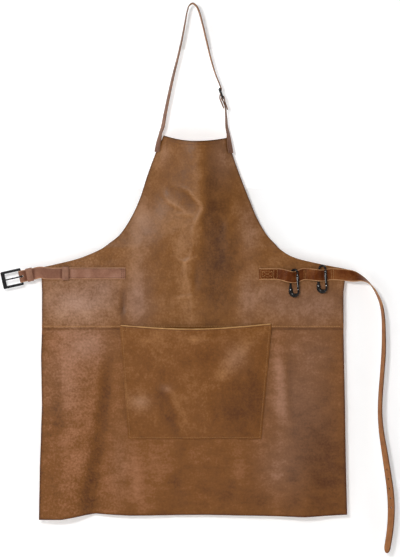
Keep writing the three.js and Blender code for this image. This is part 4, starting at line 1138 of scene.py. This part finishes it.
def keeper_band(place, depth):
    """Leather band round one or two plies of the tab."""
    half = np.array([BELT_WIDTH, depth]) / 2 + CLEAR + KEEPER_THICK / 2
    path = rounded_outline(-half, half, KEEPER_CORNER, per_side=10)
    run = unit(np.roll(path, -1, axis=0) - np.roll(path, 1, axis=0))
    outward = np.stack([run[:, 1], -run[:, 0]], axis=1)
    section = bevelled(KEEPER_LENGTH / 2, KEEPER_THICK / 2, KEEPER_BEVEL)
    middles, ups = (np.insert(flat, 0, 0, axis=1) for flat in (path, outward))
    return ring_piece(place(swept(middles, (1, 0, 0), ups, section)))


for name, body, node, piece in (
    ("waist_frame_metal", "waist_buckle", "waist_buckle_frame", buckle_frame(WAIST_PLACE, WAIST_BUCKLE)),
    ("waist_prong_metal", "waist_prong", "waist_buckle_prong", buckle_prong(WAIST_PLACE, WAIST_BUCKLE)),
    ("neck_frame_metal", "apron", "neck_buckle_frame", buckle_frame(NECK_PLACE, NECK_BUCKLE)),
    ("neck_prong_metal", "apron", "neck_buckle_prong", buckle_prong(NECK_PLACE, NECK_BUCKLE)),
):
    add_mesh(name, *piece, [BLACK_METAL], body=body, nodes=[node], slot="black_metal")
FIXED_PLACE = Place((-291.4, TAB_MIDDLE_Y - PLY_STEP, WAIST_Z), (-1, 0, 0), (0, 0, -1))
LOOSE_PLACE = Place(WAIST_PLACE((-20, 0, 0)), TAB_ALONG, TAB_DOWN)
for node, place, depth in (
    ("tab_keeper", FIXED_PLACE, STRAP_THICK),
    ("loose_keeper", LOOSE_PLACE, 2 * STRAP_THICK + CLEAR),
):
    add_mesh(f"{node}_leather", *keeper_band(place, depth), [KEEPER], nodes=[node], slot="strap_leather")

# Snap hook seen flat: u to the right, v up from its top, sizes as radii or half widths
HOOK = SimpleNamespace(
    wire=2.4, top=7.5, bottom=10.5, bottom_v=-50, nose_v=-9, pivot_v=-45.5, end_size=0.72, tongue=1.0,
    lug=2.1, pin=1.3, pin_reach=2.9, rivet=1.5,
    gate=2.5, gate_deep=2.4, gate_top_v=-9.5, gate_bevel=0.9, fork=3.6, overlap=0.6, cheek=1.4,
    head=1.3, head_back=3.4, head_base=2.2, head_rise=0.6, glint_strip=0.75, glint_strip_aside=0.6, glint_strip_rise=0.35,
)
# Thicker lower end of the hook: where it grows, and how much wider, further in and deeper it gets
SWELL_DOWN = (37, 46)
SWELL_ACROSS = (0.5, 6)
SWELL_WIDER = 2.4
SWELL_INWARD = 1.5
SWELL_DEEPER = 0.5
# Sections of the gate's bar and of the bright strip on it that stands for a painted highlight: distance past
# the fork or back from the top, and size
BAR_SECTIONS = ([(0, 0.9), (0.4, 1)], [(0.5, 1), (0, 0.8)])
GLINT_STRIP_SECTIONS = ([(1.5, 0.4), (4, 1)], [(9, 1), (6, 0.4)])
DOME_TURNS = np.radians([-30, 0, 25, 50, 72, 86])
HOOK_STEPS = 4
HOOK_SIDES = 16
GLINT_STRIP_SIDES = 8
HOOK_TURN = math.radians(25)
HOOK_RIGHT = np.array([math.cos(HOOK_TURN), -math.sin(HOOK_TURN), 0])
HOOK_ALONG = 37
HOOK_Y = -8.6


def leg_spot(v):
    """Spot at a height on the line of the gate."""
    part = (v + HOOK.top) / (HOOK.bottom_v + HOOK.top)
    return np.array([between(HOOK.top, HOOK.bottom, part), v])


PIVOT = leg_spot(HOOK.pivot_v)
# Rivet heads: place, height of their base, rise
RIVETS = [(*PIVOT, 2.55, 0.6), (-8.4, -46.5, 2.6, 0.7)]


def hook_path():
    """Middle line of the wire, from the pivot round the foot, up the back and over the top to the nose."""
    def arc(centre, radius, start, end, count):
        return polar(np.radians(np.linspace(start, end, count + 1)), radius) + (0, centre)
    foot, head = np.array([-HOOK.bottom, HOOK.bottom_v]), np.array([-HOOK.top, -HOOK.top])
    return spline_rows(np.vstack([
        [(HOOK.bottom, HOOK.bottom_v + 1)], arc(HOOK.bottom_v, HOOK.bottom, 0, -180, 10),
        between(foot, head, np.array([0.25, 0.5, 0.75])[:, None]), arc(-HOOK.top, HOOK.top, 180, 0, 8),
        [(HOOK.top, HOOK.nose_v)],
    ]), HOOK_STEPS, True)


def dome(place, u, v, base, radius, height, facing=1):
    """Low rivet head on a face of a hook."""
    sections = []
    for turn in DOME_TURNS:
        up = facing * (base + height * math.sin(turn))
        sections.append(circle(place, u, v, radius * math.cos(max(turn, 0)), up))
    return loft_piece(sections)


def hook_body(place):
    path = hook_path()
    run = unit(np.gradient(path, axis=0))
    outward = raised(np.stack([-run[:, 1], run[:, 0]], axis=1))
    swell = smoothstep(-path[:, 1], *SWELL_DOWN) * smoothstep(HOOK.bottom - path[:, 0], *SWELL_ACROSS)
    sizes = np.ones(len(path))
    sizes[[0, -1]] = HOOK.end_size
    wide, deep = ((HOOK.wire + more * swell) * sizes for more in (SWELL_WIDER, SWELL_DEEPER))
    middles = raised(path) - outward * SWELL_INWARD * swell[:, None]
    wire = place(swept(middles, outward, UP, polar(full_turn(HOOK_SIDES), 1), wide, deep))
    low = [(PIVOT[0] + side * HOOK.lug, HOOK.bottom_v - 1) for side in (-1, 1)]
    outline = np.vstack([low, PIVOT + polar(np.radians(np.linspace(0, 180, 12)), HOOK.lug)])
    pin = [circle(place, *PIVOT, HOOK.pin, side * HOOK.pin_reach) for side in (-1, 1)]
    return joined(loft_piece(wire), plate(place, outline, -HOOK.tongue, HOOK.tongue), loft_piece(pin))


def hook_rivets(place):
    heads = []
    for u, v, base, rise in RIVETS:
        heads += [dome(place, u, v, base, HOOK.rivet, rise, facing) for facing in (1, -1)]
    return joined(*heads)


def gate_spots(sections, length):
    """Distances from the pivot and sizes of sections along the gate."""
    near, far = sections
    spots = [(HOOK.fork + past, size) for past, size in near]
    return np.array(spots + [(length - back, size) for back, size in far]).T


def hook_gate(place):
    """Gate with its forked foot, and the bright parts on it: a rivet head and a bright metal strip along it,
    a painted highlight.
    """
    reach = leg_spot(HOOK.gate_top_v) - PIVOT
    length = np.linalg.norm(reach)
    along = reach / length
    side = np.array([along[1], -along[0]])
    section = bevelled(HOOK.gate, HOOK.gate_deep, HOOK.gate_bevel)
    distances, sizes = gate_spots(BAR_SECTIONS, length)
    bar = place(swept(raised(PIVOT + np.outer(distances, along)), (*side, 0), UP, section, sizes, sizes))
    foot = polar(np.radians(np.linspace(180, 360, 13)), HOOK.lug)
    foot = np.vstack([foot, [(edge, HOOK.fork + HOOK.overlap) for edge in (HOOK.lug, -HOOK.lug)]])
    outline = PIVOT + foot @ np.array([side, along])
    faces = ((HOOK.cheek, HOOK.gate_deep), (-HOOK.gate_deep, -HOOK.cheek))
    cheeks = [plate(place, outline, low, high) for low, high in faces]
    # Bright strip along the gate: a painted highlight
    distances, sizes = gate_spots(GLINT_STRIP_SECTIONS, length)
    middles = raised(PIVOT + np.outer(distances, along) - side * HOOK.glint_strip_aside, HOOK.gate_deep)
    oval = polar(full_turn(GLINT_STRIP_SIDES), (HOOK.glint_strip, HOOK.glint_strip_rise))
    glint_strip = place(swept(middles, (*side, 0), UP, oval, sizes, sizes))
    head = PIVOT + along * (length - HOOK.head_back)
    bright = joined(dome(place, *head, HOOK.head_base, HOOK.head, HOOK.head_rise), loft_piece(glint_strip))
    return joined(loft_piece(bar), *cheeks), bright


for number, (start, _, hook_top) in enumerate(LOOPS, 1):
    hook, gate_body = f"hook_{number}", f"gate_{number}"
    hook_place = Place((start + HOOK_ALONG, HOOK_Y, hook_top - HOOK.wire), HOOK_RIGHT, (0, 0, 1))
    gate, gate_bright = hook_gate(hook_place)
    add_mesh(f"{hook}_metal", *hook_body(hook_place), [GUNMETAL], nodes=[f"{hook}_body"], slot="gunmetal")
    add_mesh(f"{hook}_rivets", *hook_rivets(hook_place), [BRIGHT_METAL], slot="gunmetal")
    gate_node = f"{hook}_gate"
    add_mesh(f"{gate_node}_metal", *gate, [GUNMETAL], body=gate_body, nodes=[gate_node], slot="gunmetal")
    add_mesh(f"{gate_node}_bright", *gate_bright, [BRIGHT_METAL], body=gate_body, slot="gunmetal")


# Stitches and the pocket's rolled mouth

# One stitch: part of its length and size of each ring
STITCH_RINGS = np.array([(0, 0.35), (0.12, 0.85), (0.5, 1), (0.88, 0.85), (1, 0.35)])
STITCH_SIDES = 6
STITCH_FLAT = 0.8
STITCH_LIFT = 0.3


def sewn(name, lines, material, slot, pitch=3.8, length=3.1, radius=0.5):
    """Sewn lines joined in one mesh: each has the points along it and the directions out of the leather."""
    parts, sizes = STITCH_RINGS[:, :1], STITCH_RINGS[:, 1] * radius
    oval = polar(full_turn(STITCH_SIDES), (1, STITCH_FLAT)) + (0, STITCH_LIFT)
    stitches = []
    for points, out in lines:
        run = length_along(points)
        count = max(int(run[-1] / pitch), 1)
        middle = (np.arange(count) + 0.5) * run[-1] / count
        starts, ends = (follow(middle + ahead * length, run, points) for ahead in (-0.5, 0.5))
        outs = unit(follow(middle, run, out))
        sides = unit(np.cross(ends - starts, outs))
        for start, end, up, side in zip(starts, ends, outs, sides):
            stitches.append(loft_piece(swept(between(start, end, parts), side, up, oval, sizes, sizes)))
    add_mesh(name, *joined(*stitches), [material], slot=slot)


def panel_line(x, z, lift, depth=depth_at):
    x, z = matched(x, z)
    return lifted(x, z, lift + PANEL_THICK / 2, depth), front_normal(x, z, depth)


def pocket_line(across, down):
    return panel_line(*pocket_place(*matched(across, down)), base_depth)


def strap_line(ribbon, along, aside):
    return ribbon.at(*matched(along, aside), 0)


def strap_box(ribbon, low, high, aside, crossed=False):
    """Stitched box on a strap, with a cross in it if wanted."""
    along, wide = np.linspace(low, high, 9), np.linspace(-aside, aside, 9)
    spots = [(along, aside), (along, -aside), (low, wide), (high, wide)]
    if crossed:
        spots += [(along, wide), (along, -wide)]
    return [strap_line(ribbon, *spot) for spot in spots]


SEAM_STITCH_X = (-341, 342, 4.0)
SEAM_STITCH_Z = -739.5
seam_line = panel_line(np.arange(*SEAM_STITCH_X), SEAM_STITCH_Z, LAYER)
sewn("seam_thread", [seam_line], THREAD, "panel_leather", radius=0.75)
TOP_STITCH_PARTS = (0.12, 0.88, 60)
TOP_STITCH_DROP = 9
top_x, top_z = (row[0] for row in bib_place(BIB_SECTIONS[:1], np.linspace(*TOP_STITCH_PARTS)))
sewn("bib_top_thread", [panel_line(top_x, top_z - TOP_STITCH_DROP, 0)], DARK_THREAD, "panel_leather")

# Pocket stitches, as parts of the way across and down it: the outline, and a small box at both corners
POCKET_LEFT = 0.014
POCKET_RIGHT = 0.986
POCKET_HIGH = 0.02
POCKET_LOW = 0.985
MOUTH_STITCH = 0.0135
BOX_TOP = 0.01
BOX_SIZE = (0.031, 0.035)
downs, acrosses = np.linspace(POCKET_HIGH, POCKET_LOW, 90), np.linspace(POCKET_LEFT, POCKET_RIGHT, 110)
pocket_spots = [(POCKET_LEFT, downs), (POCKET_RIGHT, downs), (acrosses, POCKET_LOW)]
for low in (POCKET_LEFT, POCKET_RIGHT - BOX_SIZE[0]):
    box_across, box_down = low + np.linspace(0, BOX_SIZE[0], 9), BOX_TOP + np.linspace(0, BOX_SIZE[1], 9)
    pocket_spots += [(box_across, box_down[-1]), (box_across[0], box_down), (box_across[-1], box_down)]
sewn("pocket_thread", [pocket_line(*spot) for spot in pocket_spots], SEAM_THREAD, "pocket_leather")
# Stitches under the pocket's mouth in dark thread, which also stands for the shadow under the rolled edge
sewn("mouth_thread_and_shadow", [pocket_line(acrosses, MOUTH_STITCH)], DARK_THREAD, "pocket_leather", radius=0.6)

# Strap stitches: lengths along the tab and the neck strap, x on the belt, half widths
TAB_STITCH = 10.7
TAB_STITCHED = (3.5, 129)
TAB_CROSS_ROWS = [(3.5, 1), (8.5, 1), (128.6, 1.2)]
BELT_STITCH = 10.4
BELT_BOX = (156.5, 194)
BELT_CROSS = (160, 182.5)
BELT_CROSS_STITCH = 6.4
BELT_ROWS_X = (186, 255.5, 259.5, 318, 323)
BELT_OVER_APRON_X = 380
NECK_BOX = (3, 27, 5.4)
tab_run, tab_wide = np.linspace(*TAB_STITCHED, 80), np.linspace(-TAB_STITCH, TAB_STITCH, 9)
tab_spots = [(tab_run, TAB_STITCH), (tab_run, -TAB_STITCH)]
tab_spots += [(along, tab_wide * wider) for along, wider in TAB_CROSS_ROWS]
tab_lines = [strap_line(tab_ribbon, *spot) for spot in tab_spots]
sewn("tab_thread", tab_lines, DARK_THREAD, "strap_leather", radius=0.7)


def belt_run(x):
    """Length along the belt where it passes an x on the apron."""
    over_apron = belt_ribbon.places[:, 0] < BELT_OVER_APRON_X
    return np.interp(x, belt_ribbon.places[over_apron, 0], belt_ribbon.run[over_apron])


belt_lines = strap_box(belt_ribbon, *belt_run(BELT_BOX), BELT_STITCH)
belt_lines += strap_box(belt_ribbon, *belt_run(BELT_CROSS), BELT_CROSS_STITCH, crossed=True)
belt_wide = np.linspace(-BELT_STITCH, BELT_STITCH, 9)
belt_lines += [strap_line(belt_ribbon, along, belt_wide) for along in belt_run(BELT_ROWS_X)]
sewn("belt_thread", belt_lines, SEAM_THREAD, "strap_leather", pitch=3.4, length=3.0, radius=0.65)
neck_lines = strap_box(neck_long_ribbon, *NECK_BOX) + strap_box(neck_short_ribbon, *NECK_BOX)
sewn("neck_thread", neck_lines, DARK_THREAD, "strap_leather")


# Rolled mouth: parts of the way across, drop below the edge, size at its ends, half depth and half height
MOUTH_PARTS = (0.004, 0.996, 150)
MOUTH_DROP = 0.6
MOUTH_END_SIZE = 0.5
MOUTH_DEEP = 1.75
MOUTH_HIGH = 1.5
MOUTH_SIDES = 12


def mouth_roll():
    """Rolled edge along the pocket's mouth, a little deeper than high."""
    across = np.linspace(*MOUTH_PARTS)
    x, z, lift = pocket_place(across, np.zeros(across.shape))
    middle = lifted(x, z - MOUTH_DROP, lift, base_depth)
    outs = front_normal(x, z, base_depth)
    ups = unit(np.cross(outs, unit(np.gradient(middle, axis=0))))
    sizes = np.ones(len(middle))
    sizes[[0, -1]] = MOUTH_END_SIZE
    oval = polar(full_turn(MOUTH_SIDES), (MOUTH_DEEP, MOUTH_HIGH))
    return loft_piece(swept(middle, outs, ups, oval, sizes, sizes))


add_mesh("pocket_mouth", *mouth_roll(), [MOUTH_EDGE_WITH_HIGHLIGHT], slot="pocket_leather")


# Stage, light and camera

def paper_material(name, glow):
    """White paper that is seen only from its front, so that the back of the apron can be looked at."""
    g = Graph(name)
    paper = g.principled(
        Base_Color=(0.95, 0.95, 0.95, 1), Roughness=1, Specular_IOR_Level=0, Emission_Color=(1, 1, 1, 1),
        Emission_Strength=glow,
    )
    behind = g.node("NewGeometry").outputs["Backfacing"]
    clear = g.node("BsdfTransparent").outputs[0]
    return g.finished(g.node("MixShader", {0: behind, 1: paper, 2: clear}).outputs[0])


FLOOR_Z = -1.34
PAPER_HALF = 3
# The paper glows a little, painted light that keeps it white while the apron's shadows still show; the
# sheets in the recess behind the bib's turned-back corners glow more, painted light that lifts the shade
# there
DULL_PAPER = paper_material("dull_paper", 0.15)
BRIGHT_PAPER = paper_material("bright_paper", 0.26)
# Profile of the paper behind the apron: depth and height, deeper behind the bib's turned-back corners
PAPER = [
    (0.03, 2.5), (0.03, -0.1), (0.06, -0.3), (0.06, -0.42), (0.022, -0.56), (0.022, FLOOR_Z), (-4, FLOOR_Z),
]
BRIGHT_SHEETS = (1, 2)
for number, (upper, lower) in enumerate(zip(PAPER[:-1], PAPER[1:])):
    sheet = bpy.data.meshes.new(f"paper_{number}")
    corners = [(-PAPER_HALF, *lower), (PAPER_HALF, *lower), (PAPER_HALF, *upper), (-PAPER_HALF, *upper)]
    sheet.from_pydata(corners, [], [(0, 1, 2, 3)])
    sheet.materials.append(BRIGHT_PAPER if number in BRIGHT_SHEETS else DULL_PAPER)
    link(f"paper_{number}", sheet)

WORLD_STRENGTH = 0.3
world = bpy.data.worlds.new("studio")
world.use_nodes = True
world.node_tree.nodes["Background"].inputs["Color"].default_value = (1, 1, 1, 1)
world.node_tree.nodes["Background"].inputs["Strength"].default_value = WORLD_STRENGTH
bpy.context.scene.world = world


def area_light(name, place, aim, size, watts, diffuse=True, glossy=True):
    data = bpy.data.lights.new(name, "AREA")
    data.shape = "DISK"
    data.size = size
    data.energy = watts
    made = link(name, data)
    made.location = place
    made.visible_diffuse, made.visible_glossy = diffuse, glossy
    made.rotation_mode = "QUATERNION"
    made.rotation_quaternion = (Vector(aim) - Vector(place)).to_track_quat("-Z", "Y")


area_light("key", (-0.6, -2.6, -0.05), (0, 0, -0.65), 0.42, 34, glossy=False)
area_light("sheen", (-0.9, -2.2, 0.45), (0, 0, -0.7), 0.6, 36, diffuse=False)
area_light("left_strip", (-2.3, -0.9, -0.3), (0, 0, -0.6), 0.8, 9)
area_light("right_strip", (2.3, -0.9, -0.3), (0, 0, -0.6), 0.8, 5)

centre_x, centre_z = from_pixels(FRAME_WIDTH / 2, FRAME_HEIGHT / 2)
camera_data = bpy.data.cameras.new("camera")
camera_data.sensor_width = SENSOR_MM
camera_data.lens = SENSOR_MM * CAMERA_DISTANCE / (FRAME_HEIGHT * PIXEL_MM * MM)
camera = link("camera", camera_data)
camera.location = (centre_x * MM, -CAMERA_DISTANCE, centre_z * MM)
camera.rotation_euler = (math.pi / 2, 0, 0)
bpy.context.scene.camera = camera
bpy.context.scene.view_settings.view_transform = "Standard"
